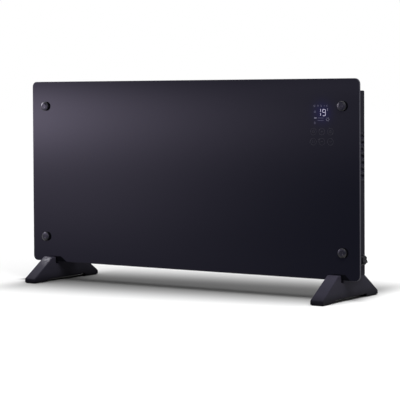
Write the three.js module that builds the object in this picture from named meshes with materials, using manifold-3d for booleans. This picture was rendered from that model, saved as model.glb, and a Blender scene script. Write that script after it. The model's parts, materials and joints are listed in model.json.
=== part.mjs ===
// A glass-fronted convector panel heater standing on two moulded feet.
// Millimetres, +Z up. The origin is on the floor under the middle of the feet, the glass faces -Y,
// and the switch end is at +X.
import * as THREE from "three";
import { mergeVertices } from "three/addons/utils/BufferGeometryUtils.js";
import Module from "manifold-3d";

const wasm = await Module();
wasm.setup();

// Clearances and shared values
const seatGap = 0.3;
const slipGap = 0.4;
const cutOverrun = 2;
const weldTolerance = 0.0001;
const fineSides = 20;
const plainSides = 12;
const smallSides = 8;

// Glass front
const glassWidth = 900;
const glassHeight = 432;
const glassThickness = 5;
const glassCornerRadius = 12;
const glassChamfer = 0.8;
const glassOverFloor = 46;
const glassFaceBeforeFeet = 37.5;

// The four glass fixings: knob, rubber grommet and threaded standoff
const fixingInsetX = 41;
const fixingInsetZ = 59;
const fixingHoleRadius = 6;
const knobRadius = 10.8;
const knobHeight = 6.4;
const knobBevel = 2.8;
const knobBackBevel = 0.8;
const knobDishRadius = 5.8;
const knobDishDepth = 0.8;
const studRadius = 2.5;
const studIntoStandoff = 6;
const grommetFlangeRadius = 8.5;
const grommetFlange = 1.2;
const standoffRadius = 6;
const standoffNeckRadius = 2.6;
const standoffNeckBehindPlate = 1.5;
const standoffRivetRadius = 4.2;
const standoffBottom = 2;

// Sheet steel casing behind the glass
const caseSideInset = 30;
const caseUnderGlassTop = 26;
const caseBottomHeight = 52;
const frontAirGap = 10;
const caseDepth = 62;
const caseSheet = 0.8;
const caseRearRadius = 3.5;
const frontSheet = 0.8;
const frontFlange = 8;
const frontFlangeEndInset = 12;

// Moulded end caps with louvres
const capPlate = 4;
const capEdgeRadius = 1.5;
const capBevel = 0.7;
const capRim = 10;
const capRimWall = 1.5;
const capRimBehindPlate = 6;
const louvreCount = 7;
const louvrePitch = 14.4;
const louvreOpening = 7;
const louvreUnderCaseTop = 189.5;
const louvreFrontInset = 11;
const louvreRearInset = 4.4;
const slatThickness = 1.4;
const slatReach = 7;
const slatRise = 6;

// Slots in the sheet
const inletCount = 24;
const inletEndInset = 29;
const inletWidth = 8;
const inletLength = 40;
const inletRearInset = 11;
const rearVentCount = 14;
const rearVentEndInset = 38;
const rearVentWidth = 6;
const rearVentLength = 24;
const rearVentUnderCaseTop = 36;
const slotEndSteps = 2;

// Hot air outlet grilles in the casing top
const grilleEndInset = 24;
const grilleDepth = 40;
const grilleBridge = 22;
const grilleFlange = 4;
const grilleFlangeThickness = 1.2;
const grilleSkirt = 9;
const grilleWall = 1.4;
const grilleBladeCount = 4;
const grilleBladeThickness = 1.3;
const grilleBladeLean = 4;
const grilleCrossCount = 5;

// Keyhole faces on the back, for wall hooks
const keyholeHalfSpacing = 230;
const keyholeUnderCaseTop = 96;
const keyFaceWidth = 56;
const keyFaceHeight = 60;
const keyFaceRaise = 5;
const keyFaceRadius = 6;
const keyHeadRadius = 5;
const keyNeckWidth = 5.4;
const keyNeckLength = 11;

// Bulkhead between the heating chamber and the electronics bay
const bayLength = 120;
const bulkheadSheet = 1.2;
const bulkheadFlange = 9;

// Heating elements: finned aluminium profiles on sheathed rods
const elementLowerHeight = 108;
const elementSpacing = 52;
const elementDepthPlace = 4;
const elementFromCap = 70;
const elementEndGap = 10;
const sheathRadius = 4;
const sheathPastCeramic = 6;
const hubRadius = 7;
const armReachY = 20;
const armReachZ = 18;
const armThickness = 1.8;
const finSlitPitch = 50;
const finSlitWidth = 3;
const finSlitRoot = 9;
const ceramicRadius = 7;
const ceramicFlangeRadius = 9.5;
const ceramicFlange = 3;
const ceramicPastSheet = 4;
const bracketSheet = 1.5;
const bracketHalfDepth = 15;
const bracketOverElement = 17;
const bracketFoot = 14;

// Heat shield behind the elements
const shieldSheet = 0.8;
const shieldBottom = 76;
const shieldTop = 300;
const shieldFromBack = 8;
const shieldEndInset = 16;

// Thermal cut-out through the bulkhead
const cutoutHeight = 236;
const cutoutRadius = 8;
const cutoutFlangeRadius = 11;
const cutoutFlange = 1.4;
const cutoutHead = 5;
const cutoutBody = 8;
const cutoutTagRadius = 2;
const cutoutTag = 7;

// Display and touch board behind the glass
const displayFromGlassEnd = 92;
const displayFrameWidth = 64;
const displayFrameTopUnderGlassTop = 46;
const displayFrameHeight = 106;
const displayFrameWall = 2;
const displayFrameFlange = 4;
const displayFrameFlangeSheet = 1.6;
const displayFrameDepth = 18;
const displayWindowWidth = 42;
const displayWindowHeight = 46;
const displayWindowUnderTop = 8;
const displayLipSheet = 1.6;
const boardSheet = 1.6;
const ledBlockWidth = 38;
const ledBlockHeight = 42;
const touchColumns = 3;
const touchRows = 2;
const touchPitchX = 21.1;
const touchPitchZ = 21.7;
const touchTopUnderGlassTop = 114;
const touchPostRadius = 4;
const touchWellRadius = 7;

// Control board in the bay
const controlBoardWidth = 84;
const controlBoardHeight = 120;
const controlBoardBottom = 190;
const controlBoardFromEnd = 62;
const controlBoardFromBack = 14;
const controlPostRadius = 3;
const controlPostInset = 7;
const relayWidth = 18;
const relayHeight = 16;
const relayDepth = 14;
const transformerWidth = 26;
const transformerHeight = 24;
const transformerDepth = 18;
const capacitorRadius = 5;
const capacitorHeight = 14;

// Tip-over switch: a pendulum in a channel on the bulkhead
const tipPivotUnderCaseTop = 72;
const tipPivotDepthPlace = 8;
const tipChannelWidth = 18;
const tipChannelHalfDepth = 17;
const tipChannelSheet = 1.6;
const tipChannelDrop = 18;
const tipChannelRise = 9;
const tipPinRadius = 1.5;
const tipArmLength = 30;
const tipArmWidth = 5;
const tipBobRadius = 8.5;
const tipBobLength = 9;
const tipHubRadius = 3.4;

// Mains rocker switch in the switch end cap
const rockerHeight = 85;
const rockerFromBack = 16.2;
const rockerBezelDepth = 25;
const rockerBezelTall = 19.5;
const rockerBezelThickness = 6.4;
const rockerBezelRadius = 3;
const rockerBodyDepth = 21.6;
const rockerBodyTall = 17.5;
const rockerBodyLength = 24;
const rockerWellFloor = 10;
const rockerTilt = THREE.MathUtils.degToRad(12);
const rockerPivotPastCase = 2.5;
const paddleRise = 7.5;
const paddleDish = 6;
const paddleTipHalf = 6.4;
const paddleWaistHalf = 7.2;
const paddleWaistRise = 2;
const paddleHeelHalf = 4.6;
const paddleHeel = 3;
const paddleKeel = 4.5;
const paddleWidth = 18;
const rockerWellWall = 0.9;
const rockerPinRadius = 1.5;
const rockerPinLength = 0.6;
const spadeWidth = 6.3;
const spadeThickness = 0.8;
const spadeLength = 8;

// Terminal block, cable gland and room sensor
const terminalFromEnd = 80;
const terminalHeight = 104;
const terminalWays = 3;
const terminalWidth = 42;
const terminalTall = 18;
const terminalDepth = 15;
const terminalMouthRadius = 3;
const terminalMouthDepth = 9;
const glandFromEnd = 48;
const glandHeight = 78;
const glandBoreRadius = 4.2;
const glandThreadRadius = 6;
const glandFlangeRadius = 9;
const glandFlange = 4;
const glandThreadLength = 9;
const glandNutRadius = 9;
const glandNutThickness = 4;
const sensorFromEnd = 68;
const sensorHeight = 18;
const sensorBase = 8;
const sensorBaseThickness = 2;
const sensorStemRadius = 1.6;
const sensorBeadRadius = 2.6;

// Internal leads
const leadRadius = 1.3;
const leadSides = 3;
const leadSteps = 12;
const leadHandle = 22;
const boardPadPitch = 9;
const boardPadInset = 6;
const boardPadHeight = 8;
const ribbonThickness = 1.2;
const ribbonWidth = 9;
const ribbonHandle = 16;

// Moulded feet with rubber pads
const footFromCaseEnd = 28;
const footWidth = 32;
const footTopWidth = 28;
const footHalfLength = 121.5;
const footShoulder = 53.5;
const footTop = 57;
const footToeHeight = 11;
const footToeRadius = 3;
const footShoulderRadius = 2.2;
const footSoleRadius = 2;
const footEdgeBevel = 1.4;
const footArch = 5;
const footArchBlend = 16;
const footArchRadius = 18;
const footSoleFront = 78;
const footSoleRear = 70.5;
const footSoleStep = 2;
const footWall = 2.5;
const footRibCount = 6;
const footRibPitch = 32;
const footRib = 2;
const glassSlotFront = 4;
const glassSlotBack = 1;
const glassSlotDrop = 5.5;
const footBossPlaces = [0, 32];
const footBossRadius = 6.5;
const padThickness = 1.5;
const padWidth = 28;
const padLength = 38;
const padFromToe = 20.5;
const padRadius = 3;
const footScrewRadius = 2;
const footScrewHeadRadius = 4;
const footScrewHead = 3;
const footScrewSeat = 15;
const footScrewPastSheet = 6;

// Places worked out from those sizes
const glassFront = -glassFaceBeforeFeet;
const glassBack = glassFront + glassThickness;
const glassTop = glassOverFloor + glassHeight;
const caseFront = glassBack + frontAirGap;
const caseRear = caseFront + caseDepth;
const caseHalfWidth = glassWidth / 2 - caseSideInset;
const caseTop = glassTop - caseUnderGlassTop;
const caseBottom = caseBottomHeight;
const sheetHalfLength = caseHalfWidth - capPlate - seatGap;
const plateBack = caseFront + frontSheet;
const backInside = caseRear - caseSheet;
const bottomInside = caseBottom + caseSheet;
const topInside = caseTop - caseSheet;
const chamberLeft = capRim - caseHalfWidth + capPlate;
const bulkheadX = caseHalfWidth - bayLength;
const chamberLength = bulkheadX - chamberLeft;
const chamberCentreX = (chamberLeft + bulkheadX) / 2;
const inletPitch = (chamberLength - 2 * inletEndInset) / inletCount;
const rearVentPitch = (chamberLength - 2 * rearVentEndInset) / rearVentCount;
const rearVentHeight = caseTop - rearVentUnderCaseTop;
const grilleLength = (chamberLength - grilleBridge) / 2 - grilleEndInset;
const louvreLowest = caseTop - louvreUnderCaseTop;
const keyholeHeight = caseTop - keyholeUnderCaseTop;
const elementLeft = chamberLeft + elementFromCap;
const displayFrameCentreX = glassWidth / 2 - displayFromGlassEnd;
const displayFrameTop = glassTop - displayFrameTopUnderGlassTop;
const controlBoardCentreX = caseHalfWidth - controlBoardFromEnd;
const tipPivotHeight = caseTop - tipPivotUnderCaseTop;
const terminalCentreX = caseHalfWidth - terminalFromEnd;
const glandX = caseHalfWidth - glandFromEnd;
const sensorX = caseHalfWidth - sensorFromEnd;
const footCentreX = caseHalfWidth - footFromCaseEnd;
const padCentre = footHalfLength - padFromToe;
const footSole = padThickness + seatGap;
const slotBottom = glassOverFloor - glassSlotDrop;
const saddle = caseBottom - seatGap;

// Where a drawn profile's own axes go when it is pushed along x, y or z.
const unitX = new THREE.Vector3(1, 0, 0);
const unitY = new THREE.Vector3(0, 1, 0);
const unitZ = new THREE.Vector3(0, 0, 1);
const pushed = {
  x: new THREE.Matrix4().makeBasis(unitY, unitZ, unitX),
  y: new THREE.Matrix4().makeBasis(unitX, unitZ, unitY.clone().negate()),
  z: new THREE.Matrix4(),
};
// Where a turned profile's own axis goes.
const spun = {
  x: new THREE.Matrix4().makeBasis(unitZ, unitX, unitY),
  y: new THREE.Matrix4(),
  z: new THREE.Matrix4().makeBasis(unitY, unitZ, unitX),
};

// A closed geometry as a solid that can be joined and cut.
function solid(geometry) {
  const bare = geometry.index ? geometry.toNonIndexed() : geometry.clone();
  bare.deleteAttribute("normal");
  bare.deleteAttribute("uv");
  const merged = mergeVertices(bare, weldTolerance);
  const corners = [];
  const index = merged.index.array;
  for (let i = 0; i < index.length; i += 3) {
    const [a, b, c] = index.slice(i, i + 3);
    if (a !== b && b !== c && c !== a) corners.push(a, b, c);
  }
  const vertProperties = merged.attributes.position.array;
  const made = (list) =>
    new wasm.Manifold(
      new wasm.Mesh({ numProp: 3, vertProperties, triVerts: Uint32Array.from(list) }),
    );
  const first = made(corners);
  return first.volume() > 0 ? first : made(corners.reverse());
}

// A straight-sided outline through corners [u, v, radius], each corner rounded to its radius.
function outline(corners) {
  const shape = new THREE.Shape();
  const spot = ([u, v]) => new THREE.Vector2(u, v);
  corners.forEach((corner, i) => {
    const here = spot(corner);
    const radius = corner[2] ?? 0;
    const back = spot(corners.at(i - 1)).sub(here).normalize();
    const on = spot(corners[(i + 1) % corners.length]).sub(here).normalize();
    const turn = Math.PI - back.angleTo(on);
    const run = radius * Math.tan(turn / 2);
    const handle = (4 / 3) * radius * Math.tan(turn / 4);
    const start = here.clone().addScaledVector(back, run);
    const end = here.clone().addScaledVector(on, run);
    if (i === 0) shape.moveTo(start.x, start.y);
    else shape.lineTo(start.x, start.y);
    if (radius > 0) {
      const first = start.clone().addScaledVector(back, -handle);
      const second = end.clone().addScaledVector(on, -handle);
      shape.bezierCurveTo(first.x, first.y, second.x, second.y, end.x, end.y);
    }
  });
  shape.closePath();
  return shape;
}

function rectangle([u0, u1], [v0, v1], radius = 0) {
  return outline([[u0, v0, radius], [u1, v0, radius], [u1, v1, radius], [u0, v1, radius]]);
}

// A slot with round ends, its length along v.
function slotShape(u, v, width, length) {
  const half = [width / 2, (length - width) / 2];
  const shape = new THREE.Shape();
  shape.absarc(u, v + half[1], half[0], 0, Math.PI, false);
  shape.absarc(u, v - half[1], half[0], Math.PI, 2 * Math.PI, false);
  return shape;
}

// A shape pushed from one place to another along an axis.
function prism(shape, [from, to], axis, { bevel = 0, steps = 5 } = {}) {
  const geometry = new THREE.ExtrudeGeometry(shape, {
    depth: to - from - 2 * bevel,
    curveSegments: steps,
    bevelEnabled: bevel > 0,
    bevelThickness: bevel,
    bevelSize: bevel,
    bevelOffset: -bevel,
    bevelSegments: 1,
  });
  geometry.translate(0, 0, bevel);
  geometry.applyMatrix4(pushed[axis]);
  if (axis === "x") geometry.translate(from, 0, 0);
  if (axis === "y") geometry.translate(0, to, 0);
  if (axis === "z") geometry.translate(0, 0, from);
  return solid(geometry);
}

function block([x0, x1], [y0, y1], [z0, z1]) {
  const geometry = new THREE.BoxGeometry(x1 - x0, y1 - y0, z1 - z0);
  geometry.translate((x0 + x1) / 2, (y0 + y1) / 2, (z0 + z1) / 2);
  return solid(geometry);
}

// A profile of [radius, place] pairs turned about an axis through the given centre.
function turned(profile, axis, sides, centre = [0, 0, 0]) {
  const points = profile.map(([radius, place]) => new THREE.Vector2(radius, place));
  const geometry = new THREE.LatheGeometry(points, sides);
  geometry.applyMatrix4(spun[axis]);
  geometry.translate(...centre);
  return solid(geometry);
}

function round(radius, [from, to], axis, sides, centre) {
  return turned([[0, from], [radius, from], [radius, to], [0, to]], axis, sides, centre);
}

const joined = (bodies) => bodies.reduce((whole, body) => whole.add(body));
const cutBy = (body, tools) => (tools.length ? body.subtract(joined(tools)) : body);
const span = (centre, width) => [centre - width / 2, centre + width / 2];
const row = (count, pitch, place) =>
  Array.from({ length: count }, (_, i) => place + (i - (count - 1) / 2) * pitch);

// Colours and finishes of the real materials
const finishes = {
  glass: { color: 0x1c1b22, roughness: 0.08, metalness: 0 },
  paintedSteel: { color: 0x232226, roughness: 0.5, metalness: 0.2 },
  bareSteel: { color: 0xa7a9ab, roughness: 0.4, metalness: 0.9 },
  aluminium: { color: 0xb9bcc0, roughness: 0.45, metalness: 0.9 },
  plastic: { color: 0x26252b, roughness: 0.55, metalness: 0 },
  knob: { color: 0x2b2a2f, roughness: 0.35, metalness: 0.1 },
  rubber: { color: 0x17171a, roughness: 0.9, metalness: 0 },
  brass: { color: 0xb08d4a, roughness: 0.35, metalness: 0.9 },
  ceramic: { color: 0xe6e0d2, roughness: 0.6, metalness: 0 },
  board: { color: 0x1d5b3a, roughness: 0.5, metalness: 0 },
  lead: { color: 0x7c2f2a, roughness: 0.6, metalness: 0 },
};

const heater = new THREE.Group();

// Adds one named piece, with a material of its own, to a group.
function piece(group, name, body, finish, place = [0, 0, 0]) {
  const { vertProperties, triVerts } = body.getMesh();
  const geometry = new THREE.BufferGeometry();
  geometry.setAttribute("position", new THREE.BufferAttribute(vertProperties, 3));
  geometry.setIndex(new THREE.BufferAttribute(triVerts, 1));
  geometry.computeVertexNormals();
  const mesh = new THREE.Mesh(geometry, new THREE.MeshStandardMaterial(finishes[finish]));
  mesh.name = name;
  mesh.position.set(...place);
  group.add(mesh);
}

function subGroup(place = [0, 0, 0]) {
  const group = new THREE.Group();
  group.position.set(...place);
  heater.add(group);
  return group;
}

// The four fixings, named as seen from the front.
const fixings = [
  ["top_left", -1, glassTop - fixingInsetZ],
  ["top_right", 1, glassTop - fixingInsetZ],
  ["bottom_left", -1, glassOverFloor + fixingInsetZ],
  ["bottom_right", 1, glassOverFloor + fixingInsetZ],
].map(([name, side, z]) => ({ name, x: side * (glassWidth / 2 - fixingInsetX), z }));

// Toughened glass with a ground edge and four drilled holes.
function glassPanel() {
  const sheet = rectangle(
    span(0, glassWidth),
    [glassOverFloor, glassTop],
    glassCornerRadius,
  );
  fixings.forEach(({ x, z }) => {
    sheet.holes.push(new THREE.Path().absarc(x, z, fixingHoleRadius, 0, 2 * Math.PI, true));
  });
  return prism(sheet, [glassFront, glassBack], "y", { bevel: glassChamfer, steps: 5 });
}

// The knob's cap starts at y = 0 and its stud runs back from there.
function knob() {
  const stud = 2 * grommetFlange + glassThickness + 3 * seatGap + studIntoStandoff;
  return turned(
    [
      [0, stud],
      [studRadius, stud],
      [studRadius, 0],
      [knobRadius - knobBackBevel, 0],
      [knobRadius, -knobBackBevel],
      [knobRadius, knobBevel - knobHeight],
      [knobRadius - knobBevel, -knobHeight],
      [knobDishRadius, -knobHeight],
      [knobDishRadius - knobDishDepth, knobDishDepth - knobHeight],
      [0, knobDishDepth / 2 - knobHeight],
    ],
    "y",
    fineSides,
  );
}

// A flanged rubber bush that lines the glass hole, with y = 0 at the glass face.
function grommet() {
  const front = -seatGap - grommetFlange;
  const back = glassThickness + seatGap + grommetFlange;
  const bore = studRadius + slipGap;
  const body = fixingHoleRadius - slipGap;
  return turned(
    [
      [bore, front],
      [grommetFlangeRadius, front],
      [grommetFlangeRadius, -seatGap],
      [body, -seatGap],
      [body, glassThickness + seatGap],
      [grommetFlangeRadius, glassThickness + seatGap],
      [grommetFlangeRadius, back],
      [bore, back],
      [bore, front],
    ],
    "y",
    plainSides,
  );
}

const standoffStart = glassBack + 2 * seatGap + grommetFlange;

// A threaded spacer swaged through the front plate, with y = 0 at its glass end.
function standoff() {
  const shoulder = caseFront - seatGap - standoffStart;
  const plateFar = plateBack + seatGap - standoffStart;
  const bore = studRadius + slipGap;
  return turned(
    [
      [0, shoulder - standoffBottom],
      [bore, shoulder - standoffBottom],
      [bore, 0],
      [standoffRadius, 0],
      [standoffRadius, shoulder],
      [standoffNeckRadius, shoulder],
      [standoffNeckRadius, plateFar],
      [standoffRivetRadius, plateFar],
      [standoffNeckRadius, plateFar + standoffNeckBehindPlate],
      [0, plateFar + standoffNeckBehindPlate],
    ],
    "y",
    plainSides,
  );
}

function addGlassAndFixings() {
  const group = subGroup();
  piece(group, "glass_panel", glassPanel(), "glass");
  const capBack = glassFront - grommetFlange - 2 * seatGap;
  fixings.forEach(({ name, x, z }) => {
    piece(group, `glass_knob_${name}`, knob(), "knob", [x, capBack, z]);
    piece(group, `glass_grommet_${name}`, grommet(), "rubber", [x, glassFront, z]);
    piece(group, `glass_standoff_${name}`, standoff(), "bareSteel", [x, standoffStart, z]);
  });
}

// Front plate: a flat sheet with its top and bottom edges folded back, and the display window.
function frontPlate() {
  const low = bottomInside + seatGap;
  const high = topInside - seatGap;
  const face = block(span(0, 2 * sheetHalfLength), [caseFront, plateBack], [low, high]);
  const foldEnd = plateBack + frontFlange;
  const fold = (z0, z1) =>
    block(span(0, 2 * (sheetHalfLength - frontFlangeEndInset)), [caseFront, foldEnd], [z0, z1]);
  const window = block(
    span(displayFrameCentreX, displayFrameWidth + 2 * slipGap),
    [caseFront - cutOverrun, plateBack + cutOverrun],
    [displayFrameTop - displayFrameHeight - slipGap, displayFrameTop + slipGap],
  );
  const holes = fixings.map(({ x, z }) =>
    round(
      standoffNeckRadius + slipGap,
      [caseFront - cutOverrun, plateBack + cutOverrun],
      "y",
      plainSides,
      [x, 0, z],
    ),
  );
  const folded = joined([face, fold(low, low + frontSheet), fold(high - frontSheet, high)]);
  return cutBy(folded, [window, ...holes]);
}

// The folded sheet that makes the top, back and bottom, before its holes are punched.
function foldedSheet() {
  const inner = caseRearRadius - caseSheet;
  return prism(
    outline([
      [caseFront, caseBottom],
      [caseRear, caseBottom, caseRearRadius],
      [caseRear, caseTop, caseRearRadius],
      [caseFront, caseTop],
      [caseFront, topInside],
      [backInside, topInside, inner],
      [backInside, bottomInside, inner],
      [caseFront, bottomInside],
    ]),
    span(0, 2 * sheetHalfLength),
    "x",
    { steps: 4 },
  );
}

const grilleCentreY = (plateBack + frontFlange + backInside) / 2;
const grilleSides = [-1, 1].map((side) => ({
  name: side < 0 ? "left" : "right",
  x: chamberCentreX + (side * (grilleLength + grilleBridge)) / 2,
}));
const keyholes = [-keyholeHalfSpacing, keyholeHalfSpacing];

// A keyhole: a round head for the screw head, with a neck that runs up from it.
function keyholeCut(x) {
  const reach = [backInside - cutOverrun, caseRear + keyFaceRaise + cutOverrun];
  const head = round(keyHeadRadius, reach, "y", plainSides, [x, 0, keyholeHeight]);
  const neck = prism(
    slotShape(x, keyholeHeight + keyNeckLength / 2, keyNeckWidth, keyNeckLength + keyNeckWidth),
    reach,
    "y",
    { steps: slotEndSteps },
  );
  return head.add(neck);
}

// The raised face round a keyhole, pressed out of the back sheet.
function keyFace(x, inset, [from, to]) {
  const shape = rectangle(
    span(x, keyFaceWidth - 2 * inset),
    span(keyholeHeight, keyFaceHeight - 2 * inset),
    keyFaceRadius - inset,
  );
  return prism(shape, [from, to], "y", { steps: 3 });
}

function inletCuts() {
  const y = backInside - inletRearInset - inletLength / 2;
  return row(inletCount, inletPitch, chamberCentreX).map((x) =>
    prism(
      slotShape(x, y, inletWidth, inletLength),
      [caseBottom - cutOverrun, bottomInside + cutOverrun],
      "z",
      { steps: slotEndSteps },
    ),
  );
}

function rearVentCuts() {
  return row(rearVentCount, rearVentPitch, chamberCentreX).map((x) =>
    prism(
      slotShape(x, rearVentHeight, rearVentWidth, rearVentLength),
      [backInside - cutOverrun, caseRear + cutOverrun],
      "y",
      { steps: slotEndSteps },
    ),
  );
}

// The rear cover: folded sheet with inlets, vents, outlet windows, keyholes and the gland hole.
function rearCover() {
  const raised = keyholes.map((x) => keyFace(x, 0, [backInside, caseRear + keyFaceRaise]));
  const pressed = keyholes.map((x) =>
    keyFace(x, caseSheet, [backInside - cutOverrun, caseRear + keyFaceRaise - caseSheet]),
  );
  const windows = grilleSides.map(({ x }) =>
    block(
      span(x, grilleLength + 2 * slipGap),
      span(grilleCentreY, grilleDepth + 2 * slipGap),
      [topInside - cutOverrun, caseTop + cutOverrun],
    ),
  );
  const gland = round(
    glandThreadRadius + slipGap,
    [backInside - cutOverrun, caseRear + cutOverrun],
    "y",
    plainSides,
    [glandX, 0, glandHeight],
  );
  const footHoles = [-1, 1].flatMap((side) =>
    footBossPlaces.map((y) =>
      round(
        footScrewRadius + slipGap,
        [caseBottom - cutOverrun, bottomInside + cutOverrun],
        "z",
        smallSides,
        [side * footCentreX, y, 0],
      ),
    ),
  );
  const sheet = joined([foldedSheet(), ...raised]);
  const cuts = [...pressed, ...keyholes.map(keyholeCut), ...windows, gland, ...footHoles];
  return cutBy(sheet, [...cuts, ...inletCuts(), ...rearVentCuts()]);
}

// Outlet grille, drawn round x = 0: a flanged frame with leaning blades and cross bars.
function outletGrille() {
  const flangeBottom = caseTop + seatGap;
  const flangeTop = flangeBottom + grilleFlangeThickness;
  const skirtBottom = flangeTop - grilleSkirt;
  const outer = [grilleLength + 2 * grilleFlange, grilleDepth + 2 * grilleFlange];
  const inner = [grilleLength - 2 * grilleWall, grilleDepth - 2 * grilleWall];
  const flange = prism(
    rectangle(span(0, outer[0]), span(grilleCentreY, outer[1]), grilleFlange),
    [flangeBottom, flangeTop],
    "z",
    { steps: 3 },
  );
  const skirt = block(
    span(0, grilleLength),
    span(grilleCentreY, grilleDepth),
    [skirtBottom, flangeTop],
  );
  const opening = block(
    span(0, inner[0]),
    span(grilleCentreY, inner[1]),
    [skirtBottom - cutOverrun, flangeTop + cutOverrun],
  );
  const pitch = grilleDepth / (grilleBladeCount + 1);
  const bladeBottom = skirtBottom + grilleBladeThickness / 2;
  const bladeTop = flangeTop - grilleBladeThickness / 2;
  const blades = row(grilleBladeCount, pitch, grilleCentreY).map((y) =>
    prism(
      outline([
        [y + grilleBladeLean, bladeBottom],
        [y + grilleBladeLean + grilleBladeThickness, bladeBottom],
        [y - grilleBladeLean + grilleBladeThickness, bladeTop],
        [y - grilleBladeLean, bladeTop],
      ]),
      span(0, grilleLength - grilleWall),
      "x",
    ),
  );
  const bars = row(grilleCrossCount, grilleLength / (grilleCrossCount + 1), 0).map((x) =>
    block(
      span(x, grilleBladeThickness),
      span(grilleCentreY, grilleDepth - grilleWall),
      [skirtBottom + grilleBladeThickness, flangeTop - 2 * grilleBladeThickness],
    ),
  );
  const frame = joined([flange, skirt]).subtract(opening);
  return joined([frame, ...blades, ...bars]);
}

const louvreHeights = Array.from({ length: louvreCount }, (_, i) => louvreLowest + i * louvrePitch);
const louvreY = [caseFront + louvreFrontInset, caseRear - louvreRearInset];

// The end cap's outline, drawn inset from the casing's outside.
function capOutline(inset) {
  const rear = Math.max(caseRearRadius - inset, capEdgeRadius);
  return outline([
    [caseFront + inset, caseBottom + inset, capEdgeRadius],
    [caseRear - inset, caseBottom + inset, rear],
    [caseRear - inset, caseTop - inset, rear],
    [caseFront + inset, caseTop - inset, capEdgeRadius],
  ]);
}

// The blades behind the louvre openings and the two webs that hold their ends.
function louvreBlades(plateInside) {
  const slats = louvreHeights.map((z) =>
    prism(
      outline([
        [plateInside + slatThickness, z],
        [plateInside + slatThickness, z - slatThickness],
        [plateInside, z - slatThickness],
        [plateInside - slatReach, z + slatRise],
        [plateInside - slatReach, z + slatRise + slatThickness],
      ]),
      [louvreY[0] - slatThickness, louvreY[1] + slatThickness],
      "y",
    ),
  );
  const top = louvreHeights.at(-1) + slatRise + 2 * slatThickness;
  const web = ([y0, y1]) =>
    block([plateInside - slatReach, plateInside + slatThickness], [y0, y1], [
      louvreLowest - slatThickness,
      top,
    ]);
  const webs = [
    web([louvreY[0] - slatThickness, louvreY[0]]),
    web([louvreY[1], louvreY[1] + slatThickness]),
  ];
  return joined([...slats, ...webs]);
}

// The end cap for the +X end. The other end is its mirror image without the switch opening.
function endCap(withSwitch) {
  const plateInside = caseHalfWidth - capPlate;
  const rimInset = caseSheet + seatGap;
  const plate = prism(capOutline(0), [plateInside, caseHalfWidth], "x", {
    bevel: capBevel,
    steps: 4,
  });
  const rim = prism(capOutline(rimInset), [plateInside - capRim, plateInside + seatGap], "x", {
    steps: 3,
  });
  const rimCut = prism(
    capOutline(rimInset + capRimWall),
    [plateInside - capRim - cutOverrun, plateInside],
    "x",
    { steps: 3 },
  );
  const clearOfPlate = block(
    [plateInside - capRim - cutOverrun, plateInside],
    [caseFront, plateBack + capRimBehindPlate],
    [caseBottom, caseTop],
  );
  const hollowRim = cutBy(rim, [rimCut, clearOfPlate]);
  const openings = louvreHeights.map((z) =>
    block([plateInside - cutOverrun, caseHalfWidth + cutOverrun], louvreY, [z, z + louvreOpening]),
  );
  const body = cutBy(plate, openings).add(hollowRim).add(louvreBlades(plateInside));
  if (!withSwitch) return body;
  const switchOpening = block(
    [plateInside - cutOverrun, caseHalfWidth + cutOverrun],
    span(caseRear - rockerFromBack, rockerBodyDepth + 2 * slipGap),
    span(rockerHeight, rockerBodyTall + 2 * slipGap),
  );
  return body.subtract(switchOpening);
}

// The bulkhead: a sheet with a rear flange, holes for the element ends and the cut-out.
function bulkhead() {
  const low = bottomInside + seatGap;
  const high = topInside - seatGap - grilleSkirt;
  const back = backInside - seatGap;
  const web = prism(
    outline([
      [plateBack + frontFlange + seatGap, low],
      [back, low, caseRearRadius],
      [back, high],
      [plateBack + frontFlange + seatGap, high],
    ]),
    [bulkheadX, bulkheadX + bulkheadSheet],
    "x",
    { steps: 3 },
  );
  const flange = block(
    [bulkheadX, bulkheadX + bulkheadFlange],
    [back - bulkheadSheet, back],
    [low + caseRearRadius, high],
  );
  const reach = [bulkheadX - cutOverrun, bulkheadX + bulkheadSheet + cutOverrun];
  const holes = elements.map(({ z }) =>
    round(ceramicRadius + slipGap, reach, "x", plainSides, [0, elementDepthPlace, z]),
  );
  const cutout = round(cutoutRadius + slipGap, reach, "x", plainSides, [
    0,
    elementDepthPlace,
    cutoutHeight,
  ]);
  return cutBy(web.add(flange), [...holes, cutout]);
}

const elements = [
  { name: "lower", z: elementLowerHeight },
  { name: "upper", z: elementLowerHeight + elementSpacing },
];
const elementRight = bulkheadX - ceramicFlange - elementEndGap;
const bracketX = elementLeft - elementEndGap - ceramicFlange - seatGap - bracketSheet;

// One finned profile, drawn round the x axis: a hub, four arms, and slits across the arms.
function finnedProfile() {
  const length = [elementLeft, elementRight];
  const half = armThickness / 2;
  const arm = (upDown) =>
    prism(
      outline([
        [-armReachY, -upDown * armReachZ - half],
        [-armReachY, -upDown * armReachZ + half],
        [armReachY, upDown * armReachZ + half],
        [armReachY, upDown * armReachZ - half],
      ]),
      length,
      "x",
    );
  const hub = round(hubRadius, length, "x", plainSides);
  const bore = round(
    sheathRadius + slipGap,
    [elementLeft - cutOverrun, elementRight + cutOverrun],
    "x",
    plainSides,
  );
  const count = Math.floor((elementRight - elementLeft) / finSlitPitch);
  const middle = (elementLeft + elementRight) / 2;
  const slabs = row(count, finSlitPitch, middle).map((x) =>
    block(
      span(x, finSlitWidth),
      span(0, 2 * (armReachY + armThickness)),
      span(0, 2 * (armReachZ + armThickness)),
    ),
  );
  const core = block(length, span(0, 2 * finSlitRoot), span(0, 2 * finSlitRoot));
  const slits = joined(slabs).subtract(core);
  return joined([arm(1), arm(-1), hub]).subtract(slits).subtract(bore);
}

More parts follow.
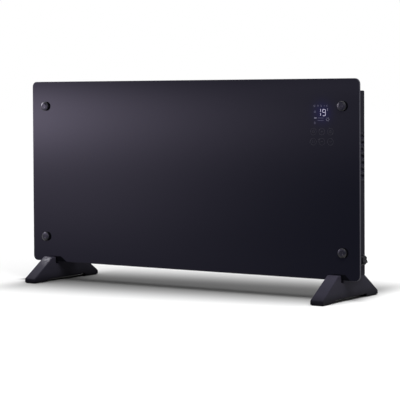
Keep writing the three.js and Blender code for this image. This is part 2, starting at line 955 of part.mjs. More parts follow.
// A ceramic bush on one rod end, drawn with x = 0 at the face of its flange and its neck to +x.
function ceramicBush(sheet) {
  const neck = ceramicFlange + seatGap + sheet + ceramicPastSheet;
  const bore = sheathRadius + slipGap;
  return turned(
    [
      [bore, 0],
      [ceramicFlangeRadius, 0],
      [ceramicFlangeRadius, ceramicFlange],
      [ceramicRadius, ceramicFlange],
      [ceramicRadius, neck],
      [bore, neck],
      [bore, 0],
    ],
    "x",
    plainSides,
  );
}

function sheathedRod() {
  const left = bracketX - ceramicPastSheet - sheathPastCeramic;
  const right = bulkheadX + bulkheadSheet + ceramicPastSheet + sheathPastCeramic;
  return round(sheathRadius, [left, right], "x", plainSides);
}

// The bracket that carries the rods' left ends, folded from sheet and standing on the casing floor.
function elementBracket() {
  const low = bottomInside + seatGap;
  const high = elements[1].z + bracketOverElement;
  const depth = span(elementDepthPlace, 2 * bracketHalfDepth);
  const web = block([bracketX, bracketX + bracketSheet], depth, [low, high]);
  const foot = block([bracketX - bracketFoot, bracketX + bracketSheet], depth, [
    low,
    low + bracketSheet,
  ]);
  const holes = elements.map(({ z }) =>
    round(
      ceramicRadius + slipGap,
      [bracketX - cutOverrun, bracketX + bracketSheet + cutOverrun],
      "x",
      plainSides,
      [0, elementDepthPlace, z],
    ),
  );
  return cutBy(web.add(foot), holes);
}

// A dished sheet that keeps the heat off the back, with its long edges folded to the casing.
function heatShield() {
  const web = backInside - shieldFromBack;
  const fold = backInside - seatGap;
  return prism(
    outline([
      [web, shieldBottom],
      [fold, shieldBottom],
      [fold, shieldBottom + shieldSheet],
      [web + shieldSheet, shieldBottom + shieldSheet],
      [web + shieldSheet, shieldTop - shieldSheet],
      [fold, shieldTop - shieldSheet],
      [fold, shieldTop],
      [web, shieldTop],
    ]),
    [bracketX + shieldEndInset, bulkheadX - seatGap],
    "x",
  );
}

// The cut-out's head senses the chamber through the bulkhead, and its tags are in the bay.
function thermalCutout() {
  const face = bulkheadX + bulkheadSheet + seatGap;
  return turned(
    [
      [0, bulkheadX - cutoutHead],
      [cutoutRadius, bulkheadX - cutoutHead],
      [cutoutRadius, face],
      [cutoutFlangeRadius, face],
      [cutoutFlangeRadius, face + cutoutFlange],
      [cutoutRadius, face + cutoutFlange],
      [cutoutRadius, face + cutoutBody],
      [cutoutTagRadius, face + cutoutBody],
      [cutoutTagRadius, face + cutoutBody + cutoutTag],
      [0, face + cutoutBody + cutoutTag],
    ],
    "x",
    plainSides,
    [0, elementDepthPlace, cutoutHeight],
  );
}

function addCasing() {
  const group = subGroup();
  piece(group, "front_plate", frontPlate(), "paintedSteel");
  piece(group, "rear_cover", rearCover(), "paintedSteel");
  grilleSides.forEach(({ name, x }) =>
    piece(group, `outlet_grille_${name}`, outletGrille(), "plastic", [x, 0, 0]),
  );
  piece(group, "left_end_cap", endCap(false).mirror([1, 0, 0]), "plastic");
  piece(group, "right_end_cap", endCap(true), "plastic");
}

function addHeating() {
  const group = subGroup();
  piece(group, "bulkhead", bulkhead(), "bareSteel");
  piece(group, "element_bracket", elementBracket(), "bareSteel");
  piece(group, "heat_shield", heatShield(), "aluminium");
  piece(group, "thermal_cutout", thermalCutout(), "bareSteel");
  const leftFace = bracketX + bracketSheet + seatGap + ceramicFlange;
  const rightFace = bulkheadX - seatGap - ceramicFlange;
  elements.forEach(({ name, z }) => {
    const place = [0, elementDepthPlace, z];
    piece(group, `element_fins_${name}`, finnedProfile(), "aluminium", place);
    piece(group, `element_rod_${name}`, sheathedRod(), "bareSteel", place);
    const left = ceramicBush(bracketSheet).mirror([1, 0, 0]);
    piece(group, `ceramic_left_${name}`, left, "ceramic", [leftFace, ...place.slice(1)]);
    const right = ceramicBush(bulkheadSheet);
    piece(group, `ceramic_right_${name}`, right, "ceramic", [rightFace, ...place.slice(1)]);
  });
}

const touchKeys = row(touchColumns, touchPitchX, displayFrameCentreX).flatMap((x) =>
  Array.from({ length: touchRows }, (_, i) => ({
    x,
    z: glassTop - touchTopUnderGlassTop - i * touchPitchZ,
  })),
);
const frameFront = glassBack + seatGap;
const boardFace = frameFront + displayFrameDepth;

// The frame that holds the board against the glass: a box with a display window and key wells.
function displayFrame() {
  const tall = [displayFrameTop - displayFrameHeight, displayFrameTop];
  const wide = span(displayFrameCentreX, displayFrameWidth);
  const outside = block(wide, [frameFront, boardFace - seatGap], tall);
  const flangeFront = plateBack + seatGap;
  const flange = block(
    span(displayFrameCentreX, displayFrameWidth + 2 * displayFrameFlange),
    [flangeFront, flangeFront + displayFrameFlangeSheet],
    [tall[0] - displayFrameFlange, tall[1] + displayFrameFlange],
  );
  const inside = block(
    span(displayFrameCentreX, displayFrameWidth - 2 * displayFrameWall),
    [frameFront + displayLipSheet, boardFace + cutOverrun],
    [tall[0] + displayFrameWall, tall[1] - displayFrameWall],
  );
  const window = block(
    span(displayFrameCentreX, displayWindowWidth),
    [frameFront - cutOverrun, boardFace],
    [
      displayFrameTop - displayWindowUnderTop - displayWindowHeight,
      displayFrameTop - displayWindowUnderTop,
    ],
  );
  const wells = touchKeys.map(({ x, z }) =>
    round(touchWellRadius, [frameFront - cutOverrun, boardFace], "y", plainSides, [x, 0, z]),
  );
  return cutBy(outside.add(flange), [inside, window, ...wells]);
}

// The display board with its lamp block and one sensing post behind each touch key.
function displayBoard() {
  const windowCentre = displayFrameTop - displayWindowUnderTop - displayWindowHeight / 2;
  const board = block(
    span(displayFrameCentreX, displayFrameWidth),
    [boardFace, boardFace + boardSheet],
    [displayFrameTop - displayFrameHeight, displayFrameTop],
  );
  const lamps = block(
    span(displayFrameCentreX, ledBlockWidth),
    [frameFront, boardFace + boardSheet],
    span(windowCentre, ledBlockHeight),
  );
  const posts = touchKeys.map(({ x, z }) =>
    round(touchPostRadius, [frameFront, boardFace + boardSheet], "y", smallSides, [x, 0, z]),
  );
  return joined([board, lamps, ...posts]);
}

// The control board: relays, transformer and a capacitor on a board with four posts to the back.
function controlBoard() {
  const face = backInside - controlBoardFromBack;
  const tall = [controlBoardBottom, controlBoardBottom + controlBoardHeight];
  const wide = span(controlBoardCentreX, controlBoardWidth);
  const board = block(wide, [face, face + boardSheet], tall);
  const posts = [wide[0] + controlPostInset, wide[1] - controlPostInset].flatMap((x) =>
    [tall[0] + controlPostInset, tall[1] - controlPostInset].map((z) =>
      round(controlPostRadius, [face, backInside - seatGap], "y", smallSides, [x, 0, z]),
    ),
  );
  const part = ([w, h, d], x, z) => block(span(x, w), [face - d, face + boardSheet / 2], span(z, h));
  const relays = row(2, relayWidth + relayHeight / 2, controlBoardCentreX).map((x) =>
    part([relayWidth, relayHeight, relayDepth], x, tall[0] + controlBoardHeight / 3),
  );
  const transformer = part(
    [transformerWidth, transformerHeight, transformerDepth],
    controlBoardCentreX - transformerWidth / 2,
    tall[1] - controlBoardHeight / 4,
  );
  const capacitor = round(
    capacitorRadius,
    [face - capacitorHeight, face + boardSheet / 2],
    "y",
    plainSides,
    [controlBoardCentreX + transformerWidth / 2 + capacitorRadius, 0, tall[1] - controlBoardHeight / 4],
  );
  return joined([board, ...posts, ...relays, transformer, capacitor]);
}

const tipLeft = bulkheadX + bulkheadSheet + seatGap;
const tipRight = tipLeft + tipChannelWidth;
const tipMiddle = (tipLeft + tipRight) / 2;

// The tip-over switch's channel: two walls with pin holes under a folded top.
function tipSwitchBody() {
  const depth = span(tipPivotDepthPlace, 2 * tipChannelHalfDepth);
  const low = tipPivotHeight - tipChannelDrop;
  const high = tipPivotHeight + tipChannelRise;
  const whole = block([tipLeft, tipRight], depth, [low, high]);
  const inside = block(
    [tipLeft + tipChannelSheet, tipRight - tipChannelSheet],
    [depth[0] - cutOverrun, depth[1] + cutOverrun],
    [low - cutOverrun, high - tipChannelSheet],
  );
  const pin = round(
    tipPinRadius + slipGap,
    [tipLeft - cutOverrun, tipRight + cutOverrun],
    "x",
    smallSides,
    [0, tipPivotDepthPlace, tipPivotHeight],
  );
  return whole.subtract(inside).subtract(pin);
}

// The pendulum, drawn with its pin's axis along x at the origin.
function tipSwitchPendulum() {
  const pin = round(tipPinRadius, span(0, tipChannelWidth - 2 * seatGap), "x", smallSides);
  const hub = round(tipHubRadius, span(0, tipBobLength), "x", plainSides);
  const arm = block(span(0, tipArmWidth), span(0, tipArmWidth), [-tipArmLength, 0]);
  const bob = round(tipBobRadius, span(0, tipBobLength), "x", plainSides, [0, 0, -tipArmLength]);
  return joined([pin, hub, arm, bob]);
}

const rockerY = caseRear - rockerFromBack;
const rockerFace = caseHalfWidth + seatGap;

// The rocker's housing: a bezel on the cap, a body through it with a well, and spade tags.
function rockerHousing() {
  const bezelOut = rockerFace + rockerBezelThickness;
  const bezel = prism(
    rectangle(span(rockerY, rockerBezelDepth), span(rockerHeight, rockerBezelTall), rockerBezelRadius),
    [rockerFace, bezelOut],
    "x",
    { bevel: rockerBezelThickness / 3, steps: 4 },
  );
  const body = block(
    [rockerFace - rockerBodyLength, rockerFace + rockerBezelThickness / 2],
    span(rockerY, rockerBodyDepth),
    span(rockerHeight, rockerBodyTall),
  );
  const well = block(
    [caseHalfWidth - rockerWellFloor, bezelOut + cutOverrun],
    span(rockerY, paddleWidth + 2 * seatGap),
    span(rockerHeight, rockerBodyTall - 2 * rockerWellWall),
  );
  const pins = round(
    rockerPinRadius + seatGap,
    span(rockerY, paddleWidth + 2 * (rockerPinLength + 2 * seatGap)),
    "y",
    plainSides,
    [caseHalfWidth + rockerPivotPastCase, 0, rockerHeight],
  );
  const tagEnd = rockerFace - rockerBodyLength - spadeLength;
  const tags = [-1, 1].flatMap((side) =>
    [-1, 1].map((upDown) =>
      block(
        [tagEnd, rockerFace - rockerBodyLength + spadeThickness],
        span(rockerY + (side * rockerBodyDepth) / 4, spadeWidth),
        span(rockerHeight + (upDown * rockerBodyTall) / 4, spadeThickness),
      ),
    ),
  );
  return joined([bezel, body, ...tags]).subtract(well).subtract(pins);
}

// The rocker itself, drawn with its pivot on the y axis and its face towards +x.
function rockerPaddle() {
  const half = [
    [paddleRise, paddleTipHalf, 1],
    [paddleWaistRise, paddleWaistHalf],
    [-paddleHeel, paddleHeelHalf],
  ];
  const mirrored = half.map(([x, z, r]) => [x, -z, r]).reverse();
  const side = outline([[paddleDish, 0], ...half, [-paddleKeel, 0], ...mirrored]);
  const paddle = prism(side, span(0, paddleWidth), "y", { steps: 3 });
  const pins = round(rockerPinRadius, span(0, paddleWidth + 2 * rockerPinLength), "y", plainSides);
  return paddle.add(pins);
}

// A three-way terminal block on the back sheet, its mouths forwards.
function terminalBlock() {
  const tall = span(terminalHeight, terminalTall);
  const whole = prism(
    outline([
      [backInside - seatGap, tall[0]],
      [backInside - seatGap, tall[1]],
      [backInside - seatGap - terminalDepth, tall[1], 1],
      [backInside - seatGap - terminalDepth, tall[0], 1],
    ]),
    span(terminalCentreX, terminalWidth),
    "x",
    { steps: 2 },
  );
  const face = backInside - seatGap - terminalDepth;
  const mouths = row(terminalWays, terminalWidth / terminalWays, terminalCentreX).map((x) =>
    round(terminalMouthRadius, [face - cutOverrun, face + terminalMouthDepth], "y", smallSides, [
      x,
      0,
      terminalHeight,
    ]),
  );
  return cutBy(whole, mouths);
}

// The cable gland in the back, with y = 0 at the casing's outside.
function cordGland() {
  const flangeOut = seatGap + glandFlange;
  return turned(
    [
      [glandBoreRadius, -glandThreadLength],
      [glandThreadRadius, -glandThreadLength],
      [glandThreadRadius, seatGap],
      [glandFlangeRadius, seatGap],
      [glandFlangeRadius, flangeOut - glandFlange / 3],
      [glandFlangeRadius - glandFlange / 3, flangeOut],
      [glandBoreRadius, flangeOut],
      [glandBoreRadius, -glandThreadLength],
    ],
    "y",
    fineSides,
  );
}

function glandNut() {
  const inner = glandThreadRadius + slipGap;
  const far = -caseSheet - seatGap;
  const hexagon = round(glandNutRadius, [far - glandNutThickness, far], "y", 6);
  const bore = round(
    inner,
    [far - glandNutThickness - cutOverrun, far + cutOverrun],
    "y",
    fineSides,
  );
  return hexagon.subtract(bore);
}

// The room temperature sensor: a bead on a stem, standing on the casing floor.
function roomSensor() {
  const low = bottomInside + seatGap;
  const base = block(span(0, sensorBase), span(0, sensorBase), [low, low + sensorBaseThickness]);
  const bead = turned(
    [
      [0, low],
      [sensorStemRadius, low],
      [sensorStemRadius, low + sensorHeight - sensorBeadRadius],
      [sensorBeadRadius, low + sensorHeight],
      [sensorStemRadius, low + sensorHeight + sensorBeadRadius],
      [0, low + sensorHeight + sensorBeadRadius],
    ],
    "z",
    smallSides,
  );
  return base.add(bead);
}

function addElectronics() {
  const group = subGroup();
  piece(group, "display_frame", displayFrame(), "plastic");
  piece(group, "display_board", displayBoard(), "board");
  piece(group, "control_board", controlBoard(), "board");
  piece(group, "tip_switch_body", tipSwitchBody(), "plastic");
  const pivot = [tipMiddle, tipPivotDepthPlace, tipPivotHeight];
  piece(group, "tip_switch_pendulum", tipSwitchPendulum(), "brass", pivot);
  piece(group, "terminal_block", terminalBlock(), "ceramic");
  piece(group, "cord_gland", cordGland(), "plastic", [glandX, caseRear, glandHeight]);
  piece(group, "gland_nut", glandNut(), "plastic", [glandX, caseRear, glandHeight]);
  piece(group, "room_sensor", roomSensor(), "plastic", [sensorX, 0, 0]);
}

// The switch rests pressed at its top, which is on.
function addRocker() {
  const group = subGroup();
  piece(group, "rocker_housing", rockerHousing(), "plastic");
  const pivot = subGroup([caseHalfWidth + rockerPivotPastCase, rockerY, rockerHeight]);
  pivot.rotation.y = -rockerTilt;
  piece(pivot, "rocker_paddle", rockerPaddle(), "plastic");
}

// Moves each edge of a convex outline inwards by a wall's thickness.
function insetOutline(points, wall) {
  const edges = points.map((point, i) => {
    const a = new THREE.Vector2(...point);
    const b = new THREE.Vector2(...points[(i + 1) % points.length]);
    const along = b.clone().sub(a).normalize();
    const inward = new THREE.Vector2(-along.y, along.x);
    return { from: a.addScaledVector(inward, wall), along };
  });
  return edges.map(({ from, along }, i) => {
    const before = edges.at(i - 1);
    const gap = from.clone().sub(before.from);
    const reach = gap.cross(along) / before.along.cross(along);
    return before.from.clone().addScaledVector(before.along, reach).toArray();
  });
}

// Narrows a foot's solid towards its top, as a mould needs.
function drafted(body) {
  const lossShare = 1 - footTopWidth / footWidth;
  return body.warp((point) => {
    point[0] *= 1 - (lossShare * point[2]) / footTop;
  });
}

// The foot's outside, drawn round x = 0: two toes, sloping backs and an arched sole.
function footOutside() {
  const arch = footSole + footArch;
  return prism(
    outline([
      [-footHalfLength, footSole],
      [-footSoleFront, footSole, footArchRadius],
      [footArchBlend - footSoleFront, arch, footArchRadius],
      [footSoleRear - footSoleStep, arch, footSoleRadius],
      [footSoleRear, footSole, footSoleRadius],
      [footHalfLength, footSole],
      [footHalfLength, footToeHeight, footToeRadius],
      [footShoulder, footTop, footShoulderRadius],
      [-footShoulder, footTop, footShoulderRadius],
      [-footHalfLength, footToeHeight, footToeRadius],
    ]),
    span(0, footWidth),
    "x",
    { bevel: footEdgeBevel, steps: 3 },
  );
}

// The hollow under the foot, less its cross ribs and screw bosses.
function footHollow() {
  const slopeRun = (footHalfLength - footShoulder) / (footTop - footToeHeight);
  const topReach = footHalfLength - (slotBottom - footToeHeight) * slopeRun;
  const low = -footWall - cutOverrun;
  const inside = insetOutline(
    [
      [-footHalfLength, low],
      [footHalfLength, low],
      [footHalfLength, footToeHeight],
      [topReach, slotBottom],
      [-topReach, slotBottom],
      [-footHalfLength, footToeHeight],
    ],
    footWall,
  );
  const hollow = prism(outline(inside), span(0, footWidth - 2 * footWall), "x");
  const ribs = row(footRibCount, footRibPitch, 0).map((y) =>
    block(span(0, footWidth), span(y, footRib), [footSole + footArch / 2, slotBottom]),
  );
  const bosses = footBossPlaces.map((y) =>
    round(footBossRadius, [footSole + footArch, slotBottom], "z", plainSides, [0, y, 0]),
  );
  return cutBy(hollow, [...ribs, ...bosses]);
}

// A moulded foot: the glass stands in its slot and the casing on its saddle.
function foot() {
  const acrossFoot = span(0, footWidth + 2 * cutOverrun);
  const slot = block(
    acrossFoot,
    [glassFront - glassSlotFront, glassBack + glassSlotBack],
    [slotBottom, footTop + cutOverrun],
  );
  const seat = block(
    acrossFoot,
    [glassBack, caseRear + seatGap],
    [saddle, footTop + cutOverrun],
  );
  const screwHoles = footBossPlaces.flatMap((y) => [
    round(footScrewRadius + slipGap, [footSole, saddle + cutOverrun], "z", smallSides, [0, y, 0]),
    round(footScrewHeadRadius + slipGap, [0, footScrewSeat], "z", plainSides, [0, y, 0]),
  ]);
  const moulded = cutBy(footOutside(), [footHollow(), slot, seat]);
  return cutBy(drafted(moulded), screwHoles);
}

function footScrew() {
  return turned(
    [
      [0, footScrewSeat - seatGap - footScrewHead],
      [footScrewHeadRadius, footScrewSeat - seatGap - footScrewHead],
      [footScrewHeadRadius, footScrewSeat - seatGap],
      [footScrewRadius, footScrewSeat - seatGap],
      [footScrewRadius, bottomInside + footScrewPastSheet],
      [0, bottomInside + footScrewPastSheet + footScrewRadius / 2],
    ],
    "z",
    plainSides,
  );
}

function footPad() {
  return prism(
    rectangle(span(0, padWidth), span(0, padLength), padRadius),
    [0, padThickness],
    "z",
    { steps: 3 },
  );
}

function addFeet() {
  [["left", -1], ["right", 1]].forEach(([name, side]) => {
    const group = subGroup([side * footCentreX, 0, 0]);
    piece(group, `foot_${name}`, foot(), "plastic");
    piece(group, `foot_pad_${name}_front`, footPad(), "rubber", [0, -padCentre, 0]);
    piece(group, `foot_pad_${name}_rear`, footPad(), "rubber", [0, padCentre, 0]);
    footBossPlaces.forEach((y, i) => {
      const place = i === 0 ? "front" : "rear";
      piece(group, `foot_screw_${name}_${place}`, footScrew(), "bareSteel", [0, y, 0]);
    });
  });
}

// A flexible lead: it leaves each end straight, with one smooth bend between.
function lead(section, handle, [start, startWay], [end, endWay]) {
  const route = new THREE.CubicBezierCurve3(
    start,
    start.clone().addScaledVector(startWay, handle),
    end.clone().addScaledVector(endWay, handle),
    end,
  );
  const geometry = new THREE.ExtrudeGeometry(section, {
    steps: leadSteps,
    curveSegments: leadSides,
    extrudePath: route,
  });
  return solid(geometry);
}

const left = unitX.clone().negate();
const forward = unitY.clone().negate();
const at = (x, y, z) => new THREE.Vector3(x, y, z);

// Where leads meet the board, the rocker's tags, the terminal block, the rods and the cut-out.
const boardFront = backInside - controlBoardFromBack - seatGap;
const boardPad = (i) => [
  at(
    controlBoardCentreX - controlBoardWidth / 2 + boardPadInset + i * boardPadPitch,
    boardFront,
    controlBoardBottom + boardPadHeight,
  ),
  forward,
];
const rockerTag = (side, upDown) => [
  at(
    rockerFace - rockerBodyLength - spadeLength - seatGap,
    rockerY + (side * rockerBodyDepth) / 4,
    rockerHeight + (upDown * rockerBodyTall) / 4,
  ),
  left,
];
const terminalMouth = (i) => [
  at(
    terminalCentreX + (i * terminalWidth) / terminalWays,
    backInside - terminalDepth - 2 * seatGap,
    terminalHeight,
  ),
  forward,
];
const rodEnd = (z) => [
  at(
    bulkheadX + bulkheadSheet + ceramicPastSheet + sheathPastCeramic + seatGap,
    elementDepthPlace,
    z,
  ),
  unitX,
];
const cutoutTagEnd = [
  at(
    bulkheadX + bulkheadSheet + cutoutBody + cutoutTag + 2 * seatGap,
    elementDepthPlace,
    cutoutHeight,
  ),
  unitX,
];

function addLeads() {
  const group = subGroup();
  const section = new THREE.Shape().absarc(0, 0, leadRadius, 0, 2 * Math.PI, false);
  const leads = {
    lead_live: [terminalMouth(1), rockerTag(1, 1)],
    lead_switched: [rockerTag(-1, -1), boardPad(3)],
    lead_neutral: [terminalMouth(0), boardPad(4)],
    lead_element_lower: [boardPad(1), rodEnd(elements[0].z)],
    lead_element_upper: [boardPad(0), rodEnd(elements[1].z)],
    lead_cutout: [boardPad(2), cutoutTagEnd],
  };
  Object.entries(leads).forEach(([name, ends]) =>
    piece(group, name, lead(section, leadHandle, ...ends), "lead"),
  );
  const ribbonFrom = [
    at(
      displayFrameCentreX,
      boardFace + boardSheet + seatGap,
      displayFrameTop - displayFrameHeight + ribbonWidth,
    ),
    unitY,
  ];
  const ribbonTo = [
    at(controlBoardCentreX, boardFront, controlBoardBottom + controlBoardHeight - boardPadHeight / 2),
    forward,
  ];
  const flat = rectangle(span(0, ribbonThickness), span(0, ribbonWidth));
  const ribbon = lead(flat, ribbonHandle, ribbonFrom, ribbonTo);
  piece(group, "ribbon_cable", ribbon, "rubber");
}

addGlassAndFixings();
addCasing();
addHeating();
addElectronics();
addRocker();
addFeet();
addLeads();

export default heater;
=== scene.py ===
# %% [markdown]
# # A glass-fronted panel heater
# The heater's solids are already made and packed. This lesson dresses them: it sets the camera, lights and
# floor, gives every solid a procedural finish, and models the small visible pieces that need smoother or
# finer forms. All lengths are in metres, and the heater stands on the floor at z = 0, its glass facing -Y.

# %% Load the frame
import json
import math

import bmesh
import bpy
from mathutils import Matrix, Vector


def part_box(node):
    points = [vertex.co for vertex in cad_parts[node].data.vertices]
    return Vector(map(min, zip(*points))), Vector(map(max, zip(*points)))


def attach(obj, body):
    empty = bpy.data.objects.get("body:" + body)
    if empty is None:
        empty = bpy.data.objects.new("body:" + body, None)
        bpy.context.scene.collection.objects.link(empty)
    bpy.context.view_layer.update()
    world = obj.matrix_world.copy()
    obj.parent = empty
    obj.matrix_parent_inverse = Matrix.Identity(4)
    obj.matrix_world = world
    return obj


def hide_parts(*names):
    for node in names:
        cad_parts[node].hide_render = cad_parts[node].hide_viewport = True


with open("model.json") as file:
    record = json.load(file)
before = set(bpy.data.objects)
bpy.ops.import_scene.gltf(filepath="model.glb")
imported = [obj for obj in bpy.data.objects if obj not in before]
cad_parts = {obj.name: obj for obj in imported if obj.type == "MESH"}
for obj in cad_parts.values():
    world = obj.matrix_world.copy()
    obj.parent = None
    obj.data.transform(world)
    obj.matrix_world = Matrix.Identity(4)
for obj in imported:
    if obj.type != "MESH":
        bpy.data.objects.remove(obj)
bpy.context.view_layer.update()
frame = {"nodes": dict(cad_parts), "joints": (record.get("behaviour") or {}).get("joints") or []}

MM = 0.001
BODY = "heater_body"
solids = frame["nodes"]
glass_low, glass_high = (Vector(corner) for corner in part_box("glass_panel"))
GLASS_FRONT = glass_low.y
GLASS_TOP = glass_high.z
print(f"{len(solids)} solids, glass front at y = {GLASS_FRONT:.4f}, glass top at z = {GLASS_TOP:.3f}")

# %% [markdown]
# ## The camera
# The picture was taken with a long lens from the heater's front right, at about the height of its top. The
# lens is pointed nearly level, and the frame is shifted so that the heater sits in the middle of it.

# %% Place the camera
CAMERA_PLACE = (2.1204, -3.0802, 0.4439)
LENS, FILM_WIDTH = 147.02, 36
SHIFT_X, SHIFT_Y = 0.0002, -0.1678
YAW, PITCH, ROLL = (math.radians(angle) for angle in (34.34995, 1.325345, -0.313553))

forward = Vector((-math.sin(YAW) * math.cos(PITCH), math.cos(YAW) * math.cos(PITCH), -math.sin(PITCH)))
level = Vector((math.cos(YAW), math.sin(YAW), 0))
upright = level.cross(forward)
right = level * math.cos(ROLL) + upright * math.sin(ROLL)
up = upright * math.cos(ROLL) - level * math.sin(ROLL)

bpy.ops.object.camera_add(location=CAMERA_PLACE)
camera = bpy.context.object
camera.rotation_euler = Matrix((right, up, -forward)).transposed().to_euler()
camera.data.lens = LENS
camera.data.sensor_width = FILM_WIDTH
camera.data.shift_x, camera.data.shift_y = SHIFT_X, SHIFT_Y
bpy.context.scene.camera = camera
print("camera looks along", [round(value, 3) for value in forward])

# %% [markdown]
# ## Shader maths
# A pattern is a small sum over the surface's coordinates. Writing each Math node out by hand hides that sum,
# so a socket is wrapped in a class whose operators add the nodes.

# %% A socket that can be reckoned with
class Value:
    """A node's output. Each operator on it adds one Math node."""

    def __init__(self, tree, socket):
        self.tree = tree
        self.socket = socket

    def maths(self, operation, *values):
        return self.tree.node("ShaderNodeMath", {"operation": operation}, dict(enumerate(values)))

    def __add__(self, other):
        return self.maths("ADD", self, other)

    def __radd__(self, other):
        return self.maths("ADD", other, self)

    def __sub__(self, other):
        return self.maths("SUBTRACT", self, other)

    def __rsub__(self, other):
        return self.maths("SUBTRACT", other, self)

    def __mul__(self, other):
        return self.maths("MULTIPLY", self, other)

    def __rmul__(self, other):
        return self.maths("MULTIPLY", other, self)

    def __abs__(self):
        return self.maths("ABSOLUTE", self)

    def at_least(self, other):
        return self.maths("MAXIMUM", self, other)

    def at_most(self, other):
        return self.maths("MINIMUM", self, other)

    def root(self):
        return self.maths("SQRT", self)

    def fade(self):
        """1 at zero, and falling smoothly as the value grows."""
        return self.maths("EXPONENT", 0 - self)

    def part(self):
        """What is left after the whole number is taken off."""
        return self.maths("FRACT", self)


print("a socket now takes +, - and *")

# %% [markdown]
# A material and a world each hold a tree of nodes. Nodes could be added and linked one at a time, but one
# method that takes a node's kind, its settings and its sockets keeps every recipe short. A finish is the
# tree of one material, and its methods are the patterns that the heater's surfaces are made of.

# %% A tree of nodes
class Tree:
    """The nodes of a material or a world, and the one way to add a node to them."""

    def __init__(self, node_tree, shader):
        self.nodes, self.links = node_tree.nodes, node_tree.links
        self.shader = self.nodes[shader]

    def node(self, kind, settings=None, inputs=None, output=0):
        made = self.nodes.new(kind)
        for key, value in (settings or {}).items():
            setattr(made, key, value)
        for key, value in (inputs or {}).items():
            if isinstance(value, Value):
                self.links.new(value.socket, made.inputs[key])
            else:
                made.inputs[key].default_value = value
        return Value(self, made.outputs[output])

    def feed(self, label, value):
        self.links.new(value.socket, self.shader.inputs[label])

    def mixed(self, factor, first, second):
        first, second = ((*shade, 1) if isinstance(shade, tuple) else shade for shade in (first, second))
        return self.node("ShaderNodeMix", {"data_type": "RGBA"}, {0: factor, 6: first, 7: second}, 2)


print("a tree adds any node in one call")

# %% A finish
class Finish(Tree):
    """A material and its Principled shader. Numbers that stay the same are set on the shader's sockets."""

    def __init__(self, name, fixed):
        self.material = bpy.data.materials.new(name)
        self.material.use_nodes = True
        super().__init__(self.material.node_tree, "Principled BSDF")
        for label, value in fixed.items():
            self.shader.inputs[label].default_value = value
        self.place = self.node("ShaderNodeTexCoord", output="Object")

    def xyz(self):
        """The three coordinates of the place on the surface."""
        split = "ShaderNodeSeparateXYZ"
        return [self.node(split, None, {0: self.place}, axis) for axis in ("X", "Y", "Z")]

    def vector(self, x, y, z):
        return self.node("ShaderNodeCombineXYZ", None, {0: x, 1: y, 2: z})

    def noise(self, scale, detail=2, vector=None, distortion=0):
        sockets = {"Vector": vector or self.place, "Scale": scale, "Detail": detail, "Distortion": distortion}
        return self.node("ShaderNodeTexNoise", None, sockets)

    def cells(self, scale, vector=None, output="Distance"):
        sockets = {"Vector": vector or self.place, "Scale": scale}
        return self.node("ShaderNodeTexVoronoi", None, sockets, output)

    def smooth(self, value, low, high):
        """0 below low, 1 above high, and a soft step between."""
        sockets = {"Value": value, "From Min": low, "From Max": high}
        return self.node("ShaderNodeMapRange", {"interpolation_type": "SMOOTHSTEP"}, sockets)

    def spread(self, value, low, high):
        """A 0 to 1 value, spread evenly over low to high."""
        return value * (high - low) + low

    def hill(self, centre, spread):
        """A round soft patch seen along Y, 1 at its centre (x, z) and fading over spread."""
        x, _, z = self.xyz()
        across = (x - centre[0]) * (1 / spread[0])
        along = (z - centre[1]) * (1 / spread[1])
        return (across * across + along * along).fade()

    def bump(self, shade_by_height, distance, rounding=0):
        """Raises the surface a little by height. Rounding is the radius that edges seem to have."""
        sockets = {"Height": shade_by_height, "Distance": distance, "Strength": 1.0}
        if rounding:
            sockets["Normal"] = self.node("ShaderNodeBevel", {"samples": 8}, {"Radius": rounding})
        self.feed("Normal", self.node("ShaderNodeBump", None, sockets))


def tinted(shade, share):
    """The same colour, lighter or darker by a share."""
    return tuple(channel * share for channel in shade)


print("a finish knows noise, cells, soft steps, hills and bumps")

# %% [markdown]
# ## Black glass
# The front is float glass, painted black on its back, so it looks like a deep black mirror. Its edges are
# ground and catch the light as a paler matt strip, and the display glows faintly blue through it. The strip
# could be a mesh of its own, but the distance to the rounded outline finds it on the solid as it is packed,
# and one soft hill gives the glow.

# %% The glass and its ground edge
GLASS_CORNER = 12 * MM
GROUND_WIDTH, GROUND_FULL_SHARE = 1.0 * MM, 0.7
FACE_SKIN = (0.1 * MM, 0.3 * MM)
GLOW_CENTRE = (0.359, GLASS_TOP - 73 * MM)
GLOW_SPREAD = (20 * MM, 21 * MM)


def outside_glass(finish):
    """How far a point is outside the glass's rounded outline; negative inside."""
    half = (glass_high - glass_low) / 2
    centre_z = (glass_high.z + glass_low.z) / 2
    x, _, z = finish.xyz()
    past_x = abs(x) - (half.x - GLASS_CORNER)
    past_z = abs(z - centre_z) - (half.z - GLASS_CORNER)
    corner_x, corner_z = past_x.at_least(0), past_z.at_least(0)
    outside = (corner_x * corner_x + corner_z * corner_z).root()
    return outside + past_x.at_least(past_z).at_most(0) - GLASS_CORNER


def black_glass():
    finish = Finish("black_glass", {"Specular IOR Level": 0.24, "Emission Strength": 1.0})
    _, y, _ = finish.xyz()
    rim = finish.smooth(outside_glass(finish), -GROUND_WIDTH, -GROUND_FULL_SHARE * GROUND_WIDTH)
    edge = rim * finish.smooth(y - GLASS_FRONT, *FACE_SKIN)
    grind = finish.noise(2600, 3)
    paint = finish.mixed(finish.noise(3), (0.0032, 0.0034, 0.005), (0.0046, 0.0048, 0.0066))
    ground = finish.mixed(grind, (0.03, 0.029, 0.041), (0.055, 0.054, 0.07))
    finish.feed("Base Color", finish.mixed(edge, paint, ground))
    wipe = finish.noise(9, 4, distortion=0.6)
    polish = finish.spread(wipe, 0.03, 0.07)
    finish.feed("Roughness", polish + edge * (finish.spread(grind, 0.4, 0.55) - polish))
    glow = finish.hill(GLOW_CENTRE, GLOW_SPREAD)
    finish.feed("Emission Color", finish.mixed(glow, (0, 0, 0), (0.0008, 0.0005, 0.028)))
    finish.bump(grind * edge, 0.02 * MM)
    return finish


